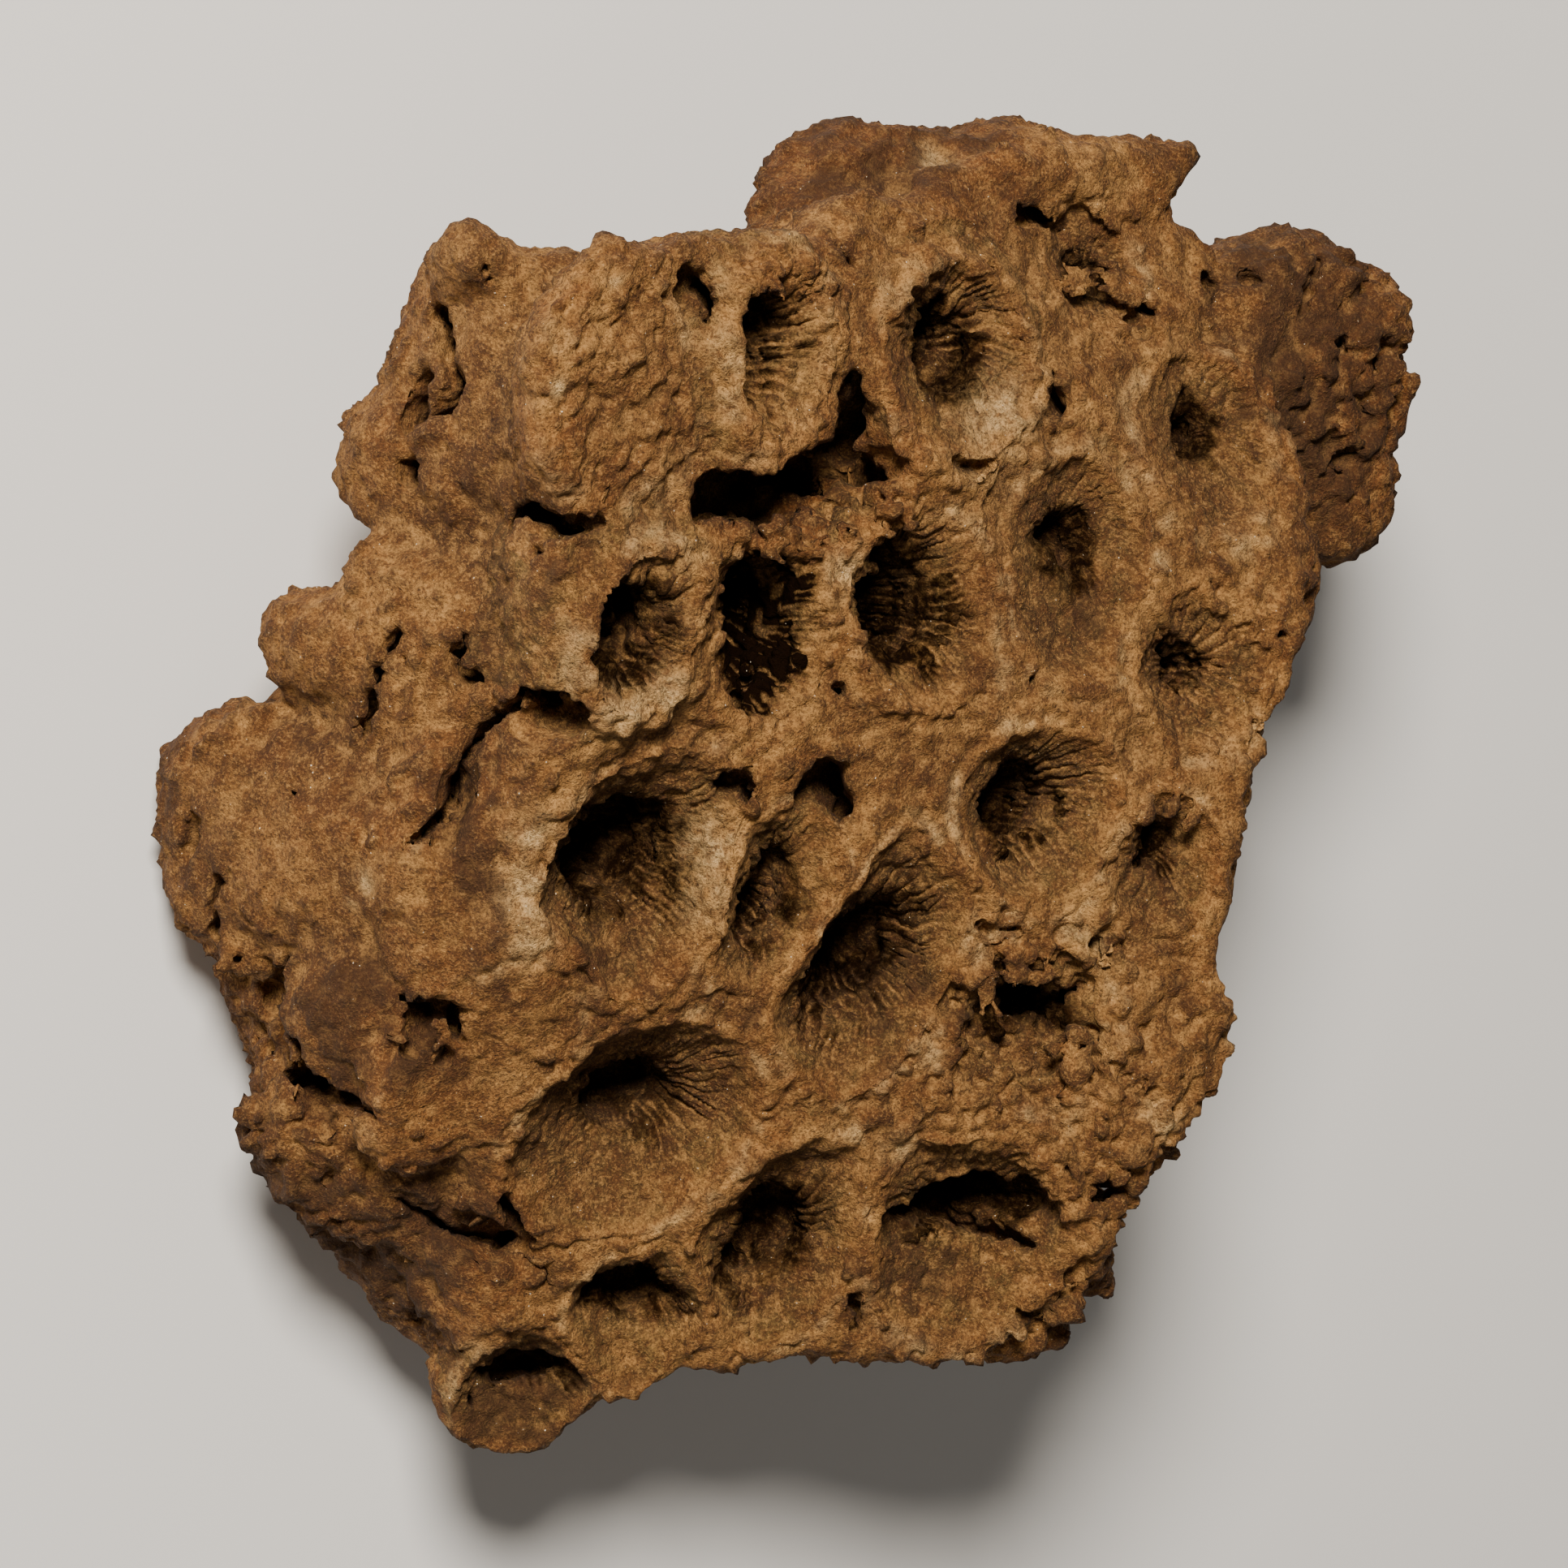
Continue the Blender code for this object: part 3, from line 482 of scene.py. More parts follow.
# The camera's sensor, in millimetres. The lamps: direction, distance, size, power and colour
SENSOR = 36.0
NEAREST_SEEN = 0.01
KEY_DIRECTION = (-0.5, 0.55, 0.68)
LAMPS = {
    "key": (KEY_DIRECTION, 0.7, 0.2, 10.8, (1.0, 0.93, 0.84)),
    "fill": ((-0.7, -0.5, 0.6), 0.9, 0.6, 0.8, (1.0, 0.91, 0.8)),
}
SKY_COLOR = (1, 0.96, 0.91, 1)
SKY_STRENGTH = 0.09
FLOOR_COLOR = (0.78, 0.77, 0.75, 1)
FLOOR_ROUGHNESS = 0.9
FLOOR_REACH = 3.0
FLOOR_DROP = 0.00005


def rim_height(x, y):
    """Height of the rim surface over a point of the plan."""
    return RIM_HEIGHT - DOME * (y - RIDGE_Y) ** 2 + (x - TWIST_X) * (TILT - TWIST * y)


def rim_slope(x, y):
    """Rise of the rim surface along X and along Y."""
    return TILT - TWIST * y, -2 * DOME * (y - RIDGE_Y) - TWIST * (x - TWIST_X)


def spline(before, start, end, after, t):
    """A value on the smooth curve through four evenly spaced ones, between the middle two."""
    return 0.5 * (
        2 * start
        + (end - before) * t
        + (2 * before - 5 * start + 4 * end - after) * t ** 2
        + (3 * start - before - 3 * end + after) * t ** 3
    )


def body_radius(azimuth, share):
    """Radius of the body at an azimuth in radians and a share of the height, 0 to 1."""
    levels, steps = BODY_RADII.shape
    place = azimuth / math.tau * steps
    first = math.floor(place)
    column = spline(*(BODY_RADII[:, (first + k) % steps] for k in (-1, 0, 1, 2)), place - first)
    level = min(int(share * (levels - 1)), levels - 2)
    rows = [min(max(level + k, 0), levels - 1) for k in (-1, 0, 1, 2)]
    return spline(*column[rows], share * (levels - 1) - level)


class Skin:
    """Closed shapes gathered as one list of points and triangles, ready for a level set."""

    def __init__(self):
        self.points = []
        self.triangles = []
        self.count = 0

    def add(self, points, triangles):
        self.points.append(points)
        self.triangles.append(triangles + self.count)
        self.count += len(points)

    def loft(self, rings):
        """A closed skin through rings of equal length, anticlockwise from above and rising."""
        rings = np.array(rings)
        rows, around = rings.shape[:2]
        index = np.arange(rows * around).reshape(rows, around)
        near = index[:-1]
        far = index[1:]
        near_next = np.roll(near, -1, axis=1)
        far_next = np.roll(far, -1, axis=1)
        bottom = rows * around
        top = bottom + 1
        faces = [
            np.stack((near, near_next, far_next), -1).reshape(-1, 3),
            np.stack((near, far_next, far), -1).reshape(-1, 3),
            np.stack((np.roll(index[0], -1), index[0], np.full(around, bottom)), -1),
            np.stack((index[-1], np.roll(index[-1], -1), np.full(around, top)), -1),
        ]
        points = np.concatenate([rings.reshape(-1, 3), rings[:1].mean(1), rings[-1:].mean(1)])
        self.add(points, np.concatenate(faces))

    def lump(self, centre, half, turn=0, lean=0, square=2.0, around=36):
        """An ellipsoid, or for a square above 2 a rounded block."""
        rings = []
        for tilt in np.linspace(-0.49, 0.49, around // 2) * math.pi:
            azimuth = np.linspace(0, math.tau, around, endpoint=False)
            ring = np.stack((np.cos(azimuth) * math.cos(tilt), np.sin(azimuth) * math.cos(tilt)), -1)
            rings.append(np.column_stack((ring, np.full(around, math.sin(tilt)))))
        placed = Matrix.Rotation(math.radians(turn), 3, "Z") @ Matrix.Rotation(math.radians(lean), 3, "Y")
        rings = np.array(rings)
        rings /= (np.abs(rings) ** square).sum(-1, keepdims=True) ** (1 / square)
        self.loft(rings * np.array(half) @ np.array(placed).T + np.array(centre))

    def spine(self, foot, tip, radius, around=14):
        """A cone with a blunt tip."""
        foot = np.array(foot)
        along = np.array(tip) - foot
        turned = np.array(Vector(along).to_track_quat("Z", "Y").to_matrix())
        azimuth = np.linspace(0, math.tau, around, endpoint=False)
        circle = np.stack((np.cos(azimuth), np.sin(azimuth), np.zeros(around)), -1) @ turned.T
        shares = ((0.0, 1.0), (0.5, 0.62), (0.85, 0.3), (1.0, 0.12))
        self.loft([foot + along * far + circle * radius * wide for far, wide in shares])

    def level_set(self, transform):
        points = np.concatenate(self.points).astype(np.float32)
        triangles = np.concatenate(self.triangles).astype(np.uint32)
        return openvdb.FloatGrid.createLevelSetFromPolygons(
            points, triangles=triangles, transform=transform, halfWidth=SHELL
        )


def oval_radius(azimuth, half_width, half_length, turn):
    """Distance from the middle of an oval to its edge."""
    local = azimuth + math.radians(turn)
    return 1 / np.hypot(np.cos(local) / half_width, np.sin(local) / half_length)


def rim_radius(name, azimuth):
    """Distance from a calice's centre to its rim: its own oval, held back by its neighbours."""
    calice = CALICES[name]
    total = (REACH * oval_radius(azimuth, *calice[3:6])) ** -ROUNDING
    for other, neighbour in CALICES.items():
        if other == name:
            continue
        dx = neighbour[0] - calice[0]
        dy = neighbour[1] - calice[1]
        toward = math.atan2(dy, dx)
        facing = np.cos(azimuth - toward)
        own = oval_radius(toward, *calice[3:6])
        share = own / (own + oval_radius(toward + math.pi, *neighbour[3:6]))
        reach = share * math.hypot(dx, dy) / np.maximum(facing, FACING)
        total = total + np.where(facing > FACING, reach ** -ROUNDING, 0)
    return total ** (-1 / ROUNDING)


def calice_frame(name):
    """The calice's centre on the rim surface, its slopes and its upward normal."""
    x, y, lift = CALICES[name][:3]
    slope_x, slope_y = rim_slope(x, y)
    normal = np.array((-slope_x, -slope_y, 1.0))
    return np.array((x, y, rim_height(x, y) + lift)), slope_x, slope_y, normal / norm(normal)


def pit_shift(name, depth):
    """How far the hollow's axis has moved from the rim's middle at a depth below the rim."""
    x, y, _, _, edge = PITS.get(name, NO_PIT)
    share = np.clip(depth / edge, 0, 1)
    return np.stack((x * share, y * share, 0 * share), -1)


def pit_radius(name, azimuth):
    """Radius of the pit's edge about its own middle."""
    return oval_radius(azimuth, *PITS.get(name, NO_PIT)[2:4], CALICES[name][5])


def calice_ring(name, share, depth, drift=0.0, pit_share=0.0):
    """A ring of points at a share of the rim's radius, and of the pit's, and a depth below the rim."""
    centre, slope_x, slope_y, normal = calice_frame(name)
    azimuth = np.linspace(0, math.tau, RING_POINTS, endpoint=False)
    radius = rim_radius(name, azimuth) * share + pit_radius(name, azimuth) * pit_share
    dx = radius * np.cos(azimuth)
    dy = radius * np.sin(azimuth)
    return centre + np.stack((dx, dy, slope_x * dx + slope_y * dy), -1) - normal * depth + drift


def add_body(skin):
    """The mass of the colony, from the cut up to a little below the rims."""
    rings = []
    for share in np.linspace(0, 1, BODY_LEVELS + 1):
        ring = []
        for azimuth in np.linspace(0, math.tau, BODY_POINTS, endpoint=False):
            radius = body_radius(azimuth, share)
            x = BODY_CENTRE[0] + radius * math.cos(azimuth)
            y = BODY_CENTRE[1] + radius * math.sin(azimuth)
            ring.append((x, y, share * (rim_height(x, y) - BODY_BELOW_RIMS)))
        rings.append(ring)
    edge = np.array(rings[-1])
    for inward in np.linspace(0.9, 0.1, 9):
        x = BODY_CENTRE[0] + (edge[:, 0] - BODY_CENTRE[0]) * inward
        y = BODY_CENTRE[1] + (edge[:, 1] - BODY_CENTRE[1]) * inward
        rings.append(np.stack((x, y, rim_height(x, y) - BODY_BELOW_RIMS), -1))
    skin.loft(rings)


def add_corallite(skin, name):
    """The solid wall tube of one polyp, which leans away from the root of the colony."""
    centre, _, _, normal = calice_frame(name)
    axis = (centre - FAN_ROOT) / norm(centre - FAN_ROOT)
    lowest = min(WALL_DEPTH, centre[2] - 6)
    lean = (normal - axis) * lowest
    rings = [calice_ring(name, share, sink * lowest, drift * lean) for share, sink, drift in TUBE_FOOT]
    for share, depth in COLLAR if name in COLLARED else TUBE_RIM:
        rings.append(calice_ring(name, share, depth))
    skin.loft(rings)


def add_rib(skin, azimuth):
    """A half-buried tube that follows the side of the body from the cut to the rims."""
    turns = np.linspace(0, math.tau, 24, endpoint=False)
    rings = []
    for level in range(RIB_RINGS):
        share = 0.04 + 0.92 * level / (RIB_RINGS - 1)
        thick = RIB_RADIUS * (0.55 + 0.45 * share)
        radius = body_radius(math.radians(azimuth) % math.tau, share) - thick * RIB_BURIED
        x = BODY_CENTRE[0] + radius * math.cos(math.radians(azimuth))
        y = BODY_CENTRE[1] + radius * math.sin(math.radians(azimuth))
        z = share * (rim_height(x, y) - BODY_BELOW_RIMS)
        ring = np.stack((x + thick * np.cos(turns), y + thick * np.sin(turns), np.full(24, z)), -1)
        rings.append(ring)
    skin.loft(rings)


def add_calice_cutter(skin, name):
    """The hollow of a calice: a slope down to the edge of its pit, and the pit around its boss."""
    depth, boss, mouth = CALICES[name][6:9]
    edge = PITS[name][4]
    profile = [(0.0, PIT_FLOOR, depth)]
    if boss:
        profile.insert(0, (0.0, BOSS_TOP, depth - boss))
    profile += [(0.0, share, edge + (depth - edge) * sink) for share, sink in reversed(PIT)]
    profile += [(mouth * way, 1 - way, edge * sink) for way, sink in reversed(SLOPE)]
    rings = []
    for share, pit_share, down in profile:
        rings.append(calice_ring(name, share, down, pit_shift(name, down), pit_share))
    skin.loft(rings)


def view_axes():
    """The camera's right, up and back directions."""
    back = np.array((
        math.sin(VIEW_TURN) * math.cos(VIEW_DROP),
        -math.sin(VIEW_DROP),
        math.cos(VIEW_TURN) * math.cos(VIEW_DROP),
    ))
    y_axis = np.array((0, 1, math.tan(VIEW_DROP) / math.cos(VIEW_TURN)))
    y_axis /= norm(y_axis)
    turned = np.stack((np.cross(y_axis, back), y_axis, back))
    return turned[:, 0], turned[:, 1], turned[:, 2]


def to_pixels(points):
    """Where points of the colony lie in the photograph."""
    right, up, back = view_axes()
    local = points - VIEW_CENTRE
    scale = PHOTO_SCALE * VIEW_DISTANCE / (VIEW_DISTANCE - local @ back)
    return PHOTO_WIDTH / 2 + local @ right * scale, PHOTO_WIDTH / 2 - local @ up * scale


class Volume:
    """Signed distances on a grid: below 0 in the stone."""

    def __init__(self, grid, hollow):
        low, high = grid.evalActiveVoxelBoundingBox()
        self.low = [value - 3 for value in low]
        self.size = [high[k] - low[k] + 7 for k in range(3)]
        self.background = float(grid.background)
        self.values = np.maximum(self.blur(self.dense(grid), SADDLE), -self.dense(hollow))

    def dense(self, grid):
        values = np.full(self.size, grid.background, np.float32)
        grid.copyToArray(values, ijk=self.low)
        return values

    def index(self, points):
        place = np.round(points / VOXEL).astype(int) - np.array(self.low)
        return tuple(np.clip(place, 1, np.array(self.size) - 2).T)

    def places(self, index):
        return (np.stack(index, -1) + np.array(self.low)) * VOXEL

    def hit(self, x, y):
        """The first stone on the line of sight through a pixel, and the way into it."""
        right, up, back = view_axes()
        focal = PHOTO_SCALE * VIEW_DISTANCE
        along = right * (x - PHOTO_WIDTH / 2) + up * (PHOTO_WIDTH / 2 - y) - back * focal
        along /= norm(along)
        far = np.arange(*SEEN_FROM_TO, VOXEL / 3)
        points = VIEW_CENTRE + back * VIEW_DISTANCE + along * far[:, None]
        inside = self.values[self.index(points)] < 0
        if not inside.any():
            return None, along
        point = points[np.argmax(inside)]
        cell = np.ravel(self.index(point[None]))
        steps = np.eye(3, dtype=int)
        slope = np.array([self.values[tuple(cell + k)] - self.values[tuple(cell - k)] for k in steps])
        inward = along * 0.6 - slope / max(norm(slope), 1e-6) * 0.4
        return point, inward / norm(inward)

    def carve(self, start, start_radius, end, end_radius):
        """Takes a tapered rod out of the stone."""
        reach = max(start_radius, end_radius) + self.background
        first = np.minimum(start, end) - reach
        last = np.maximum(start, end) + reach
        first = np.clip(np.floor(first / VOXEL).astype(int) - np.array(self.low), 0, self.size)
        last = np.clip(np.ceil(last / VOXEL).astype(int) - np.array(self.low), 0, self.size)
        window = tuple(slice(a, b) for a, b in zip(first, last))
        steps = np.meshgrid(*(np.arange(a, b) for a, b in zip(first, last)), indexing="ij")
        places = (np.stack(steps, -1) + np.array(self.low)) * VOXEL
        rod = end - start
        share = np.clip((places - start) @ rod / max(rod @ rod, 1e-9), 0, 1)
        off = norm(places - start - share[..., None] * rod, axis=-1)
        wide = start_radius + (end_radius - start_radius) * share
        self.values[window] = np.maximum(self.values[window], (wide - off).astype(np.float32))

    def blur(self, field, reach):
        """The mean of a field over cubes of a half width in millimetres, twice."""
        steps = max(int(round(reach / VOXEL)), 1)
        count = 2 * steps + 1
        for axis in (0, 1, 2, 0, 1, 2):
            edges = [(0, 0), (0, 0), (0, 0)]
            edges[axis] = (steps + 1, steps)
            total = np.cumsum(np.pad(field, edges, mode="edge"), axis=axis, dtype=np.float32)
            total = np.moveaxis(total, axis, 0)
            field = np.moveaxis((total[count:] - total[:-count]) / count, 0, axis)
        return np.ascontiguousarray(field)


def carve_slots(volume):
    """Cuts every slot along its chain of places, as rods that taper into the stone."""
    rng = np.random.default_rng(7)
    for depth, *chain in SLOTS:
        places = np.array(chain, float).reshape(-1, 3)
        steps = []
        for start, end in zip(places, places[1:]):
            length = math.hypot(*(end - start)[:2])
            count = max(int(length / (SLOT_STEP * PHOTO_SCALE * max(start[2], end[2]))), 1)
            steps += [start + (end - start) * (k / count) for k in range(count)]
        steps.append(places[-1])
        cuts = []
        for x, y, wide in steps:
            jitter = rng.normal(0, SLOT_WAVER * wide * PHOTO_SCALE, 2)
            point, inward = volume.hit(x + jitter[0], y + jitter[1])
            if point is not None:
                cuts.append((point, inward, wide * rng.uniform(0.85, 1.2), depth * rng.uniform(0.75, 1.15)))
        for point, inward, wide, deep in cuts:
            volume.carve(point - inward * SLOT_MOUTH, wide, point + inward * deep, wide * SLOT_TAPER)


def roughen(volume):
    """Breaks up the skin with uneven stone, more in the crumbled zones."""
    near = np.nonzero(np.abs(volume.values) < 1.3)
    places = volume.places(near)
    coarse = 0.55 * noise(places, 3.4, 21, 2)
    deep = calice_fields(places)[4]
    fine = np.zeros(len(places))
    amount = crumbled(places)
    rough = amount > 0.05
    fine[rough] = noise(places[rough], 1.25, 23, 2) * amount[rough]
    fade = ramp(1.0, 3.0, places[:, 2])
    calm = 1 - 0.6 * ramp(-9.0, -14.0, places[:, 0])
    shift = (coarse * 0.36 * calm + fine * 0.42 + noise(places, 1.6, 25, 2) * 0.55 * deep) * fade
    volume.values[near] += shift.astype(np.float32)


def zone(points, centre, reach, inner, outer):
    """1 up to an inner share of a zone's reach, and 0 from an outer share on."""
    return ramp(outer, inner, norm((points - np.array(centre)) / np.array(reach), axis=1))


def crumbled(points):
    """How much coarser the stone is than elsewhere, in the crumbled zones."""
    amount = np.zeros(len(points))
    for centre, reach, strength in CRUMBLED:
        amount = np.maximum(amount, strength * zone(points, centre, reach, 0.6, 1.15))
    return amount


def colony_volume():
    """The stone as distances on a grid, from its solids, its hollows and its slots."""
    transform = openvdb.createLinearTransform(voxelSize=VOXEL)
    solid = Skin()
    add_body(solid)
    for name in CALICES:
        add_corallite(solid, name)
    for lump in LUMPS.values():
        solid.lump(*lump, square=LUMP_SQUARE)
    for azimuth in RIB_AZIMUTHS:
        add_rib(solid, azimuth)
    for spine in SPINES:
        solid.spine(*spine)
    hollow = Skin()
    for name in CALICES:
        if CALICES[name][6] > SHALLOW:
            add_calice_cutter(hollow, name)
    for hole in HOLES.values():
        hollow.lump(*hole)
    volume = Volume(solid.level_set(transform), hollow.level_set(transform))
    roughen(volume)
    carve_slots(volume)
    heights = (np.arange(volume.size[2]) + volume.low[2]) * VOXEL
    volume.values = np.maximum(volume.values, BASE_LEVEL - heights[None, None, :].astype(np.float32))
    return volume


def skin_of(volume):
    """The skin of the stone, as points and quads."""
    grid = openvdb.FloatGrid(volume.background)
    grid.copyFromArray(volume.values, ijk=volume.low)
    grid.transform = openvdb.createLinearTransform(voxelSize=VOXEL)
    points, quads = grid.convertToQuads(0.0)
    return largest_body(points.astype(np.float64), quads[:, ::-1].astype(np.int64))


def largest_body(points, quads):
    """Drops every loose crumb of skin."""
    label = np.arange(len(points))
    while True:
        lowest = label[quads].min(1)
        fresh = label.copy()
        for k in range(4):
            np.minimum.at(fresh, quads[:, k], lowest)
        fresh = fresh[fresh]
        if (fresh == label).all():
            break
        label = fresh
    kept = label == np.bincount(label).argmax()
    number = np.cumsum(kept) - 1
    return points[kept], number[quads[kept[quads[:, 0]]]]


def refine(points, quads, chosen):
    """Splits the chosen quads in four. Faces come back as rows of 8 places, the last one repeated."""
    total = len(points)
    following = np.roll(quads, -1, axis=1)
    edges = np.minimum(quads, following) * total + np.maximum(quads, following)
    split, place = np.unique(edges[chosen], return_inverse=True)
    middles = total + place.reshape(-1, 4)
    ends = np.stack((split // total, split % total), -1)
    centres = total + len(split) + np.arange(chosen.sum())
    inner = quads[chosen]
    refined = np.concatenate([
        np.stack((inner[:, k], middles[:, k], centres, middles[:, (k + 3) % 4]), -1) for k in range(4)
    ])
    outer = quads[~chosen]
    keys = edges[~chosen]
    spot = np.clip(np.searchsorted(split, keys), 0, len(split) - 1)
    shared = split[spot] == keys
    rows = np.empty((len(outer), 8), np.int64)
    rows[:, 0::2] = outer
    rows[:, 1::2] = np.where(shared, total + spot, -1)
    order = np.argsort(rows < 0, axis=1, kind="stable")
    rows = np.take_along_axis(rows, order, 1)
    last = rows[np.arange(len(rows)), (rows >= 0).sum(1) - 1]
    rows = np.where(rows < 0, last[:, None], rows)
    refined = np.concatenate([refined, np.repeat(refined[:, 3:], 4, axis=1)], axis=1)
    points = np.concatenate([points, points[ends].mean(1), points[inner].mean(1)])
    return points, np.concatenate([rows, refined])


def face_edges(faces, total):
    """Every edge once, as pairs of points."""
    keys = []
    for k in range(faces.shape[1]):
        start = faces[:, k]
        end = faces[:, (k + 1) % faces.shape[1]]
        apart = start != end
        keys.append(np.minimum(start, end)[apart] * total + np.maximum(start, end)[apart])
    keys = np.unique(np.concatenate(keys))
    return np.stack((keys // total, keys % total))


def point_normals(points, faces):
    """The normal of every point, from the faces around it weighted by their areas."""
    spokes = points[faces[:, 1:]] - points[faces[:, :1]]
    area = np.cross(spokes[:, :-1], spokes[:, 1:]).sum(1)
    total = np.zeros_like(points)
    for k in range(faces.shape[1]):
        fresh = faces[:, k] != faces[:, k - 1] if k else np.ones(len(faces), bool)
        for axis in range(3):
            total[:, axis] += np.bincount(faces[fresh, k], area[fresh, axis], len(points))
    return total / np.maximum(norm(total, axis=1), 1e-12)[:, None]


def neighbour_mean(values, edges):
    """The mean of each point's neighbours along the edges."""
    start, end = edges
    number = np.bincount(start, minlength=len(values)) + np.bincount(end, minlength=len(values))
    total = np.zeros_like(values)
    for axis in range(values.shape[1]):
        total[:, axis] = np.bincount(start, values[end, axis], len(values))
        total[:, axis] += np.bincount(end, values[start, axis], len(values))
    return total / np.maximum(number, 1)[:, None]


def noise(points, scale, seed, octaves=1):
    """Smooth noise, about -1 to 1, whose lumps are about scale millimetres wide."""
    rng = np.random.default_rng(seed)
    total = np.zeros(len(points))
    for octave in range(octaves):
        turn = np.linalg.qr(rng.normal(size=(3, 3)))[0]
        table = rng.uniform(-1, 1, 32 ** 3).astype(np.float32)
        place = points @ turn / (scale / 2 ** octave) + 500.0
        cell = np.floor(place).astype(np.int64)
        t = place - cell
        t = t * t * (3 - 2 * t)
        cell &= 31
        following = (cell + 1) & 31
        level = 0.0
        for i in (0, 1):
            x = (following if i else cell)[:, 0] * 1024
            along_x = t[:, 0] if i else 1 - t[:, 0]
            for j in (0, 1):
                xy = x + (following if j else cell)[:, 1] * 32
                along_xy = along_x * (t[:, 1] if j else 1 - t[:, 1])
                near = table[xy + cell[:, 2]]
                level = level + along_xy * (near + (table[xy + following[:, 2]] - near) * t[:, 2])
        total += level * 1.5 / 2 ** octave
    return total


def ramp(low, high, value):
    """A smooth rise from 0 at the low value to 1 at the high one."""
    t = np.clip((value - low) / (high - low), 0, 1)
    return t * t * (3 - 2 * t)


def within(outline, x, y):
    """How far each pixel lies inside an outline, in pixels: 0 outside it."""
    outline = np.array(outline, float)
    inside = np.zeros(len(x), bool)
    nearest = np.full(len(x), math.inf)
    for (x0, y0), (x1, y1) in zip(outline, np.roll(outline, -1, axis=0)):
        dx = x1 - x0
        dy = y1 - y0
        inside ^= ((y0 > y) != (y1 > y)) & (x < x0 + dx * (y - y0) / (dy or 1))
        share = np.clip(((x - x0) * dx + (y - y0) * dy) / (dx ** 2 + dy ** 2), 0, 1)
        nearest = np.minimum(nearest, np.hypot(x - x0 - share * dx, y - y0 - share * dy))
    return np.where(inside, nearest, 0.0)


def calice_fields(points):
    """For each point: the height of the septa, how rough the stone is, how near it lies to a rim,
    how deep it lies in a cup from 0 to 1, and how far it lies inside a pit from 0 to 1, which sets the
    pit's painted shade and stain."""
    septa = np.zeros(len(points))
    rough = np.full(len(points), 1.2)
    rim = np.zeros(len(points))
    sunk = np.zeros(len(points))
    pit = np.zeros(len(points))
    for order, (name, calice) in enumerate(CALICES.items()):
        depth, _, mouth, count, strength, roughness = calice[6:12]
        centre, _, _, normal = calice_frame(name)
        near = np.flatnonzero(np.abs(points - centre).max(1) < CALICE_REACH)
        local = points[near] - centre
        below = -local @ normal
        flat = local + normal * below[:, None] - pit_shift(name, below)
        azimuth = np.arctan2(flat[:, 1], flat[:, 0])
        radius = np.hypot(flat[:, 0], flat[:, 1])
        share = radius / rim_radius(name, azimuth)
        inside = (share < 1.06) & (below > -1.5) & (below < depth + 2)
        rng = np.random.default_rng(100 + order)
        waver = 0.0
        for wave in range(2, 7):
            waver = waver + rng.uniform(-0.03, 0.03) * np.sin(wave * azimuth + rng.uniform(0, math.tau))
        wobble = noise(points[near], 1.3, 200 + order, 2)
        patchy = ramp(-0.7, 0.5, noise(points[near], 3.0, 240 + order))
        turned = azimuth + waver + rng.uniform(-0.3, 0.3) * (1 - share) + wobble * 0.035
        phase = turned / math.tau * count
        ridge = 0.5 + 0.5 * np.cos(phase * math.tau)
        minor = 0.5 + 0.5 * np.cos(phase * math.pi)
        inner = ramp(0.35, 0.65, share)
        ridge = ridge ** 1.3 * (0.6 + 0.4 * minor) * inner + minor ** 1.3 * (1 - inner)
        uneven = rng.uniform(0.4, 1.15, count)[np.round(phase).astype(int) % count]
        reach = ramp(0.2, 0.4, share) * (1 - 0.85 * ramp(0.55, 0.9, share))
        reach *= 0.65 + 0.35 * np.cos(azimuth - 0.6)
        height = (ridge - 0.4) * uneven * reach * strength * (0.25 + patchy) * (1 + 0.6 * wobble)
        target = near[inside]
        septa[target] = height[inside]
        blend = ramp(1.06, 0.85, share[inside])
        rough[target] += (roughness - rough[target]) * blend
        if depth > SHALLOW:
            sunk[target] = np.maximum(sunk[target], np.clip(below[inside] / depth, 0, 1))
            # The pit's painted shade and stain: near black inside the pit's edge and deeper, broken by
            # lighter blotches
            ragged = noise(points[near], 1.4, 260 + order, 3)
            off = radius / pit_radius(name, azimuth) + 0.22 * ragged + 0.5 * (ridge - 0.4) * patchy
            pit_shade_stain = ramp(1.4, 0.9, off) * ramp(0.1, 0.8, below / PITS[name][4])
            blotches = ramp(-0.1, 0.5, noise(points[near], 1.5, 280 + order, 2))
            pit_shade_stain *= 1 - BLOTCH.get(name, 0.4) * blotches
            pit_shade_stain *= 1 + (PIT_SHADE_STAIN_STRENGTH.get(name, 1.0) - 1) * ramp(0.5, 0.95, pit_shade_stain)
            pit[target] = np.maximum(pit[target], pit_shade_stain[inside])
        crest = np.exp(-(((share - (1 + mouth) / 2) / (0.04 + (1 - mouth) / 2)) ** 2))
        crest *= ramp(2.0, 0.7, np.abs(below))
        rim[near] = np.maximum(rim[near], crest)
    return septa, rough, rim, sunk, pit


def comb_heights(points, facing):
    """Height of the fine ridges that fan out over worn parts."""
    x, y = to_pixels(points)
    total = np.zeros(len(points))
    for order, (centre, count, height, outline) in enumerate(COMBS.values()):
        inside = ramp(0, 26, within(outline, x, y)) * facing
        chosen = np.flatnonzero(inside > 0)
        angle = np.arctan2(y[chosen] - centre[1], x[chosen] - centre[0])
        waver = noise(points[chosen], 2.4, 300 + order) * 0.35
        phase = angle / math.tau * count + waver
        ridge = np.cos(phase * math.tau) * (0.75 + 0.5 * noise(points[chosen], 1.5, 320 + order))
        total[chosen] += ridge * height * inside[chosen]
    return total


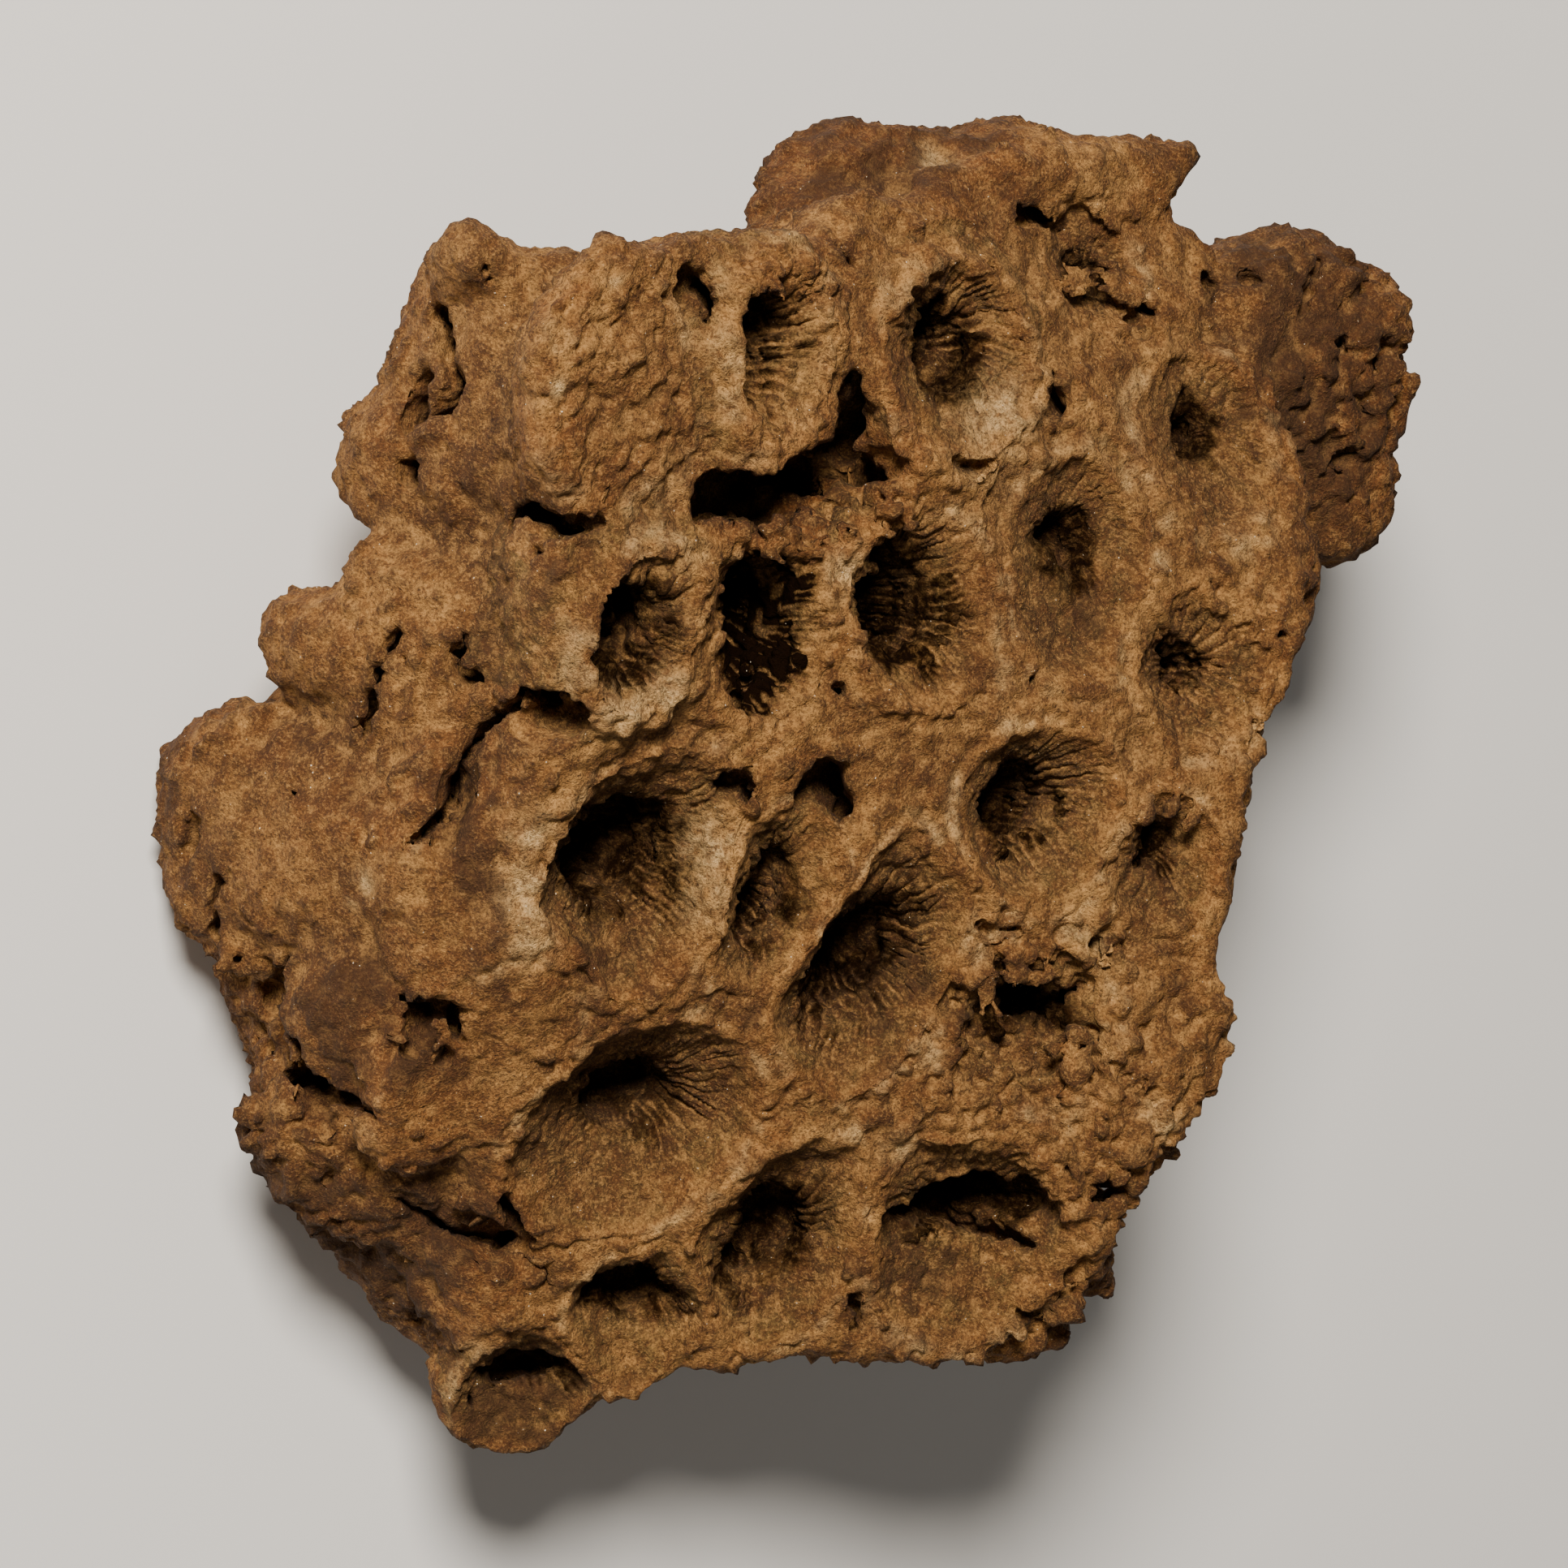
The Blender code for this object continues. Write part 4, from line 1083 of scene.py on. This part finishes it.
def plate_heights(points, facing):
    """Height of the layers of the side, with ragged edges."""
    x, y = to_pixels(points)
    total = np.zeros(len(points))
    ragged = noise(points, 1.3, 31, 2) * 7
    for height, outline in PLATES.values():
        total += height * ramp(2, 16, within(outline, x, y) + ragged) * facing
    return total


def relief(points, normals):
    """Moves the points by the fine relief, and returns them with the fields for the colours."""
    _, _, back = view_axes()
    septa, rough, rim, sunk, pit = calice_fields(points)
    cup = ramp(0.02, 0.15, sunk)
    facing = ramp(0.08, 0.3, normals @ back) * (1 - cup)
    flank = facing * ramp(-8.0, -12.0, points[:, 0])
    crumb_zone = crumbled(points)
    lumps = noise(points, 2.6, 1, 2)
    crumbs = noise(points, 1.15, 3, 2)
    grain = noise(points, 0.5, 5)
    patch = 0.55 + 0.6 * ramp(-0.3, 0.5, noise(points, 6.0, 6))
    pores = ramp(0.45, 0.8, noise(points, 0.95, 8)) * ramp(0.0, 0.5, noise(points, 4.5, 9))
    smooth_side = 1 - 0.45 * ramp(0.6, 0.2, normals[:, 2])
    push = (
        SEPTUM_HEIGHT * septa
        + comb_heights(points, facing)
        + plate_heights(points, flank)
        + LUMP_HEIGHT * lumps * (0.2 + 0.25 * (1 - cup)) * smooth_side
        + CRUMB_HEIGHT * crumbs * (rough + crumb_zone) * patch * smooth_side
        + GRAIN_HEIGHT * grain * (rough + 0.5 * crumb_zone)
        + CREST_HEIGHT * rim * (0.8 + 0.7 * noise(points, 0.8, 10))
        - PORE_DEPTH * pores * (1 - 0.6 * cup)
    )
    fade = ramp(BASE_LEVEL, BASE_LEVEL + 2.0, points[:, 2])
    moved = points + normals * (push * fade)[:, None]
    drift = np.stack([noise(points, 3.2, seed, 2) for seed in (41, 42, 43)], -1)
    drift[:, 2] *= 0.5
    return moved + drift * (WARP * fade)[:, None], rim, sunk, pit, pores


def hollowness(points, faces, edges):
    """Above 0 in hollows and below 0 on edges, in millimetres, over about a millimetre."""
    blurred = points
    for _ in range(8):
        blurred = neighbour_mean(blurred, edges)
    normals = point_normals(blurred, faces)
    return ((blurred - points) * normals).sum(1)


def stone_material():
    """Rough silicified limestone: ochre brown, paler on the edges, red brown in the hollows by painted
    shade, near black in the pits by painted shade and stain, with crystal specks partly painted as glints.
    """
    material = bpy.data.materials.new("silicified_coral")
    material.use_nodes = True
    nodes = material.node_tree.nodes
    links = material.node_tree.links
    shader = nodes["Principled BSDF"]

    def node(kind, **settings):
        made = nodes.new(kind)
        for key, value in settings.items():
            setattr(made, key, value)
        return made

    def feed(value, socket):
        if isinstance(value, bpy.types.NodeSocket):
            links.new(value, socket)
        else:
            socket.default_value = value

    place = node("ShaderNodeTexCoord").outputs["Object"]

    def fill(made, **values):
        for name, value in values.items():
            feed(value, made.inputs[name.replace("_", " ")])
        return made

    def grains(size, detail, roughness):
        made = node("ShaderNodeTexNoise")
        fill(made, Vector=place, Scale=1 / (size * MM), Detail=detail, Roughness=roughness)
        return made.outputs["Fac"]

    def spread(value, low, high, bottom, top):
        made = node("ShaderNodeMapRange")
        fill(made, Value=value, From_Min=low, From_Max=high, To_Min=bottom, To_Max=top)
        return made.outputs["Result"]

    def mix(factor, first, second):
        made = node("ShaderNodeMix", data_type="RGBA")
        feed(factor, made.inputs[0])
        feed(first, made.inputs[6])
        feed(second, made.inputs[7])
        return made.outputs[2]

    def combine(kind, first, second):
        made = node("ShaderNodeMath", operation=kind)
        feed(first, made.inputs[0])
        feed(second, made.inputs[1])
        return made.outputs[0]

    def attribute(name):
        return node("ShaderNodeAttribute", attribute_name=name).outputs["Fac"]

    steering = {name: grains(*settings) for name, settings in GRAINS.items()}
    color = UMBER
    for name, low, high, bottom, top, tint in LAYERS:
        if name not in steering:
            steering[name] = attribute(name)
        color = mix(spread(steering[name], low, high, bottom, top), color, tint)
    medium = steering["medium"]
    # Painted shade and stain: near black in the pits
    pit_shade_stain = combine("MULTIPLY", attribute("pit"), spread(medium, 0.62, 0.42, 0.72, 1.0))
    color = mix(pit_shade_stain, color, PIT_SHADE_STAIN_BLACK)

    # Crystal specks: a near-white base colour as painted glints, and a low roughness for real highlights
    glint = fill(node("ShaderNodeTexVoronoi", feature="F1"), Vector=place, Scale=1 / (CRYSTAL_GLINT_SPACING * MM))
    spot = combine("LESS_THAN", glint.outputs["Distance"], CRYSTAL_GLINT_SHARE)
    crystal_glint = combine("MULTIPLY", spot, combine("GREATER_THAN", medium, 0.62))
    links.new(mix(crystal_glint, color, CRYSTAL_GLINT), shader.inputs["Base Color"])
    links.new(spread(crystal_glint, 0.0, 1.0, 0.85, 0.22), shader.inputs["Roughness"])
    links.new(spread(pit_shade_stain, 0.1, 0.9, 0.3, 0.03), shader.inputs["Specular IOR Level"])

    coarse = combine("MULTIPLY", medium, BUMP_MEDIUM)
    height = combine("ADD", coarse, combine("MULTIPLY", steering["fine"], BUMP_FINE))
    bump = fill(node("ShaderNodeBump"), Strength=BUMP_STRENGTH, Distance=MM, Height=height)
    links.new(bump.outputs["Normal"], shader.inputs["Normal"])
    return material


def piece_of(points, faces):
    """The name of the piece that each face belongs to: the cups in bands, and the sides."""
    x, y, z = points[faces[:, :4]].mean(1).T
    azimuth = np.degrees(np.arctan2(y - BODY_CENTRE[1], x - BODY_CENTRE[0])) % 360
    top = z > rim_height(x, y) - BAND_DEPTH
    names = np.full(len(faces), "coral_side_hidden", dtype=object)
    names[(azimuth > LEFT_SIDE[0]) & (azimuth < LEFT_SIDE[1])] = "coral_side_left"
    names[top] = np.array(CUP_BANDS, dtype=object)[np.searchsorted(BAND_ENDS, y[top])]
    names[top & (y > BAND_ENDS[-1]) & (x > BACK_SPLIT)] = "coral_cups_back_right"
    return names


def make_pieces(points, faces, fields, material):
    """One object a region, shaded by the normals of the whole skin so that no seam shows."""
    normals = point_normals(points, faces)
    names = piece_of(points, faces)
    world = (points - np.array((*CENTRE, BASE_LEVEL))) * MM
    for name in sorted(set(names)):
        chosen = faces[names == name]
        used, local = np.unique(chosen, return_inverse=True)
        local = local.reshape(-1, 8)
        fresh = np.column_stack((np.ones(len(local), bool), local[:, 1:] != local[:, :-1]))
        sizes = fresh.sum(1)
        mesh = bpy.data.meshes.new(name)
        mesh.vertices.add(len(used))
        mesh.vertices.foreach_set("co", world[used].ravel())
        mesh.loops.add(int(sizes.sum()))
        mesh.loops.foreach_set("vertex_index", local[fresh])
        mesh.polygons.add(len(local))
        mesh.polygons.foreach_set("loop_start", np.concatenate([[0], np.cumsum(sizes)[:-1]]))
        mesh.update(calc_edges=True)
        for field, values in fields.items():
            layer = mesh.attributes.new(field, "FLOAT", "POINT")
            layer.data.foreach_set("value", values[used])
        mesh.shade_smooth()
        mesh.normals_split_custom_set_from_vertices(normals[used].tolist())
        mesh.materials.append(material)
        piece = bpy.data.objects.new(name, mesh)
        show(piece)
        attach(piece, "root")
        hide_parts("coral_colony")
        print("piece", name, int((sizes - 2).sum()), "triangles")


def colour_fields(volume, points, normals, rim, sunk, pores):
    """Values from 0 to 1 that steer the colours, and the tone, about -1 to 1."""
    # Painted shade: the share of stone around each point, higher in recesses and pores
    stone = (volume.values < 0).astype(np.float32)
    wide = volume.blur(stone, 3.0)[volume.index(points + normals * 1.0)]
    close = volume.blur(stone, 0.9)[volume.index(points + normals * 0.3)]
    tone = 0.6 * noise(points, 8.0, 51) + 0.6 * noise(points, 3.0, 52, 2) + 0.6 * noise(points, 1.0, 53, 2)
    # Lighter on the rims; darker deep in the cups, which is painted shade, and lighter on faces that look
    # up, which is painted light
    tone += 0.35 * rim - 0.5 * ramp(0.35, 1.0, sunk) + 0.35 * ramp(0.6, 0.95, normals[:, 2])
    foot = ramp(14.0, 4.0, points[:, 2]) * ramp(-8.0, -14.0, points[:, 1])
    reddish = np.maximum.reduce([zone(points, *values) for values in REDDISH_ZONES])
    reddish += 0.5 * ramp(-0.1, 0.8, noise(points, 4.0, 54, 3))
    # Pale spots, a few of them painted light on cup walls that face the key lamp
    pale_and_lit = np.zeros(len(points))
    for x, y, reach in PALE_AND_LIT_SPOTS:
        point, _ = volume.hit(x, y)
        if point is not None:
            pale_and_lit = np.maximum(pale_and_lit, np.exp(-(((points - point) ** 2).sum(1) / reach ** 2)))
    broken = 0.5 + 0.6 * noise(points, 0.9, 55, 2)
    pale_and_lit = np.clip(pale_and_lit * (0.4 + broken), 0, 1) * 0.9
    worn = ramp(-0.1, 0.6, noise(points, 3.5, 56, 2) + 0.1)
    pale_and_lit = np.maximum(pale_and_lit, np.clip(rim * broken, 0, 1) * 0.55 * worn)
    # Painted shade: an olive tint deep in the cups on walls that face away from the key lamp
    away_from_key = ramp(0.75, 0.35, normals @ np.array(Vector(KEY_DIRECTION).normalized()))
    olive_shade = ramp(0.03, 0.2, sunk) * away_from_key * (0.7 + 0.5 * noise(points, 1.0, 57, 2))
    # Darker and lighter zones, the lighter ones on cup walls that face the key lamp being painted light
    for centre, reach, change in TONE_AND_LIGHT_ZONES:
        tone += change * zone(points, centre, reach, 0.5, 1.25)
    return {
        "tone": tone - 0.4 * foot,
        "cavity_shade": 0.65 * wide + 0.35 * close + 0.12 * pores,
        "reddish": np.clip(reddish, 0, 1),
        "olive_shade": np.clip(olive_shade, 0, 1),
        "pale_and_lit": pale_and_lit,
    }


def build_coral():
    """The whole piece: its solid skin, refined where its relief is fine, and its pieces."""
    volume = colony_volume()
    points, quads = skin_of(volume)
    _, _, rim, sunk, _ = calice_fields(points)
    fans = np.abs(comb_heights(points, np.ones(len(points)))) > 0
    wanted = (sunk > 0.02) | (rim > 0.3) | (fans & (points[:, 2] > FAN_LEVEL))
    chosen = wanted[quads].any(1)
    if not chosen.any():
        chosen[0] = True
    points, faces = refine(points, quads, chosen)
    normals = point_normals(points, faces)
    points, rim, sunk, pit, pores = relief(points, normals)
    edges = face_edges(faces, len(points))
    hollow = hollowness(points, faces, edges)
    normals = point_normals(points, faces)
    fields = colour_fields(volume, points, normals, rim, sunk, pores)
    fields["hollow"] = hollow
    fields["pit"] = pit
    make_pieces(points, faces, fields, stone_material())


def show(made):
    bpy.context.scene.collection.objects.link(made)


def add_camera():
    """The camera at the photograph's angle. Gives the point that it looks at."""
    right, up, back = view_axes()
    target = (VIEW_CENTRE - np.array((*CENTRE, BASE_LEVEL))) * MM
    camera = bpy.data.objects.new("camera", bpy.data.cameras.new("camera"))
    placed = np.eye(4)
    placed[:3, 0] = right
    placed[:3, 1] = up
    placed[:3, 2] = back
    placed[:3, 3] = target + back * VIEW_DISTANCE * MM
    camera.matrix_world = Matrix(placed.tolist())
    camera.data.sensor_width = SENSOR
    camera.data.lens = SENSOR * PHOTO_SCALE * VIEW_DISTANCE / PHOTO_WIDTH
    camera.data.clip_start = NEAREST_SEEN
    show(camera)
    bpy.context.scene.camera = camera
    return target


def add_light(name, target, direction, distance, size, power, color):
    """A round lamp that faces the target."""
    data = bpy.data.lights.new(name, "AREA")
    data.shape = "DISK"
    data.size = size
    data.energy = power
    data.color = color
    light = bpy.data.objects.new(name, data)
    towards = Vector(direction).normalized()
    light.location = Vector(target) + towards * distance
    light.rotation_euler = towards.to_track_quat("Z", "Y").to_euler()
    show(light)


def add_floor():
    mesh = bpy.data.meshes.new("floor")
    far = FLOOR_REACH
    mesh.from_pydata([(-far, -far, 0), (far, -far, 0), (far, far, 0), (-far, far, 0)], [], [(0, 1, 2, 3)])
    floor = bpy.data.objects.new("floor", mesh)
    floor.location.z = -FLOOR_DROP
    show(floor)
    material = bpy.data.materials.new("pale_floor")
    material.use_nodes = True
    shader = material.node_tree.nodes["Principled BSDF"]
    shader.inputs["Base Color"].default_value = FLOOR_COLOR
    shader.inputs["Roughness"].default_value = FLOOR_ROUGHNESS
    mesh.materials.append(material)


def add_stage():
    target = add_camera()
    add_floor()
    for name, settings in LAMPS.items():
        add_light(name, target, *settings)
    world = bpy.data.worlds.new("studio")
    world.use_nodes = True
    world.node_tree.nodes["Background"].inputs["Color"].default_value = SKY_COLOR
    world.node_tree.nodes["Background"].inputs["Strength"].default_value = SKY_STRENGTH
    bpy.context.scene.world = world


add_stage()
build_coral()
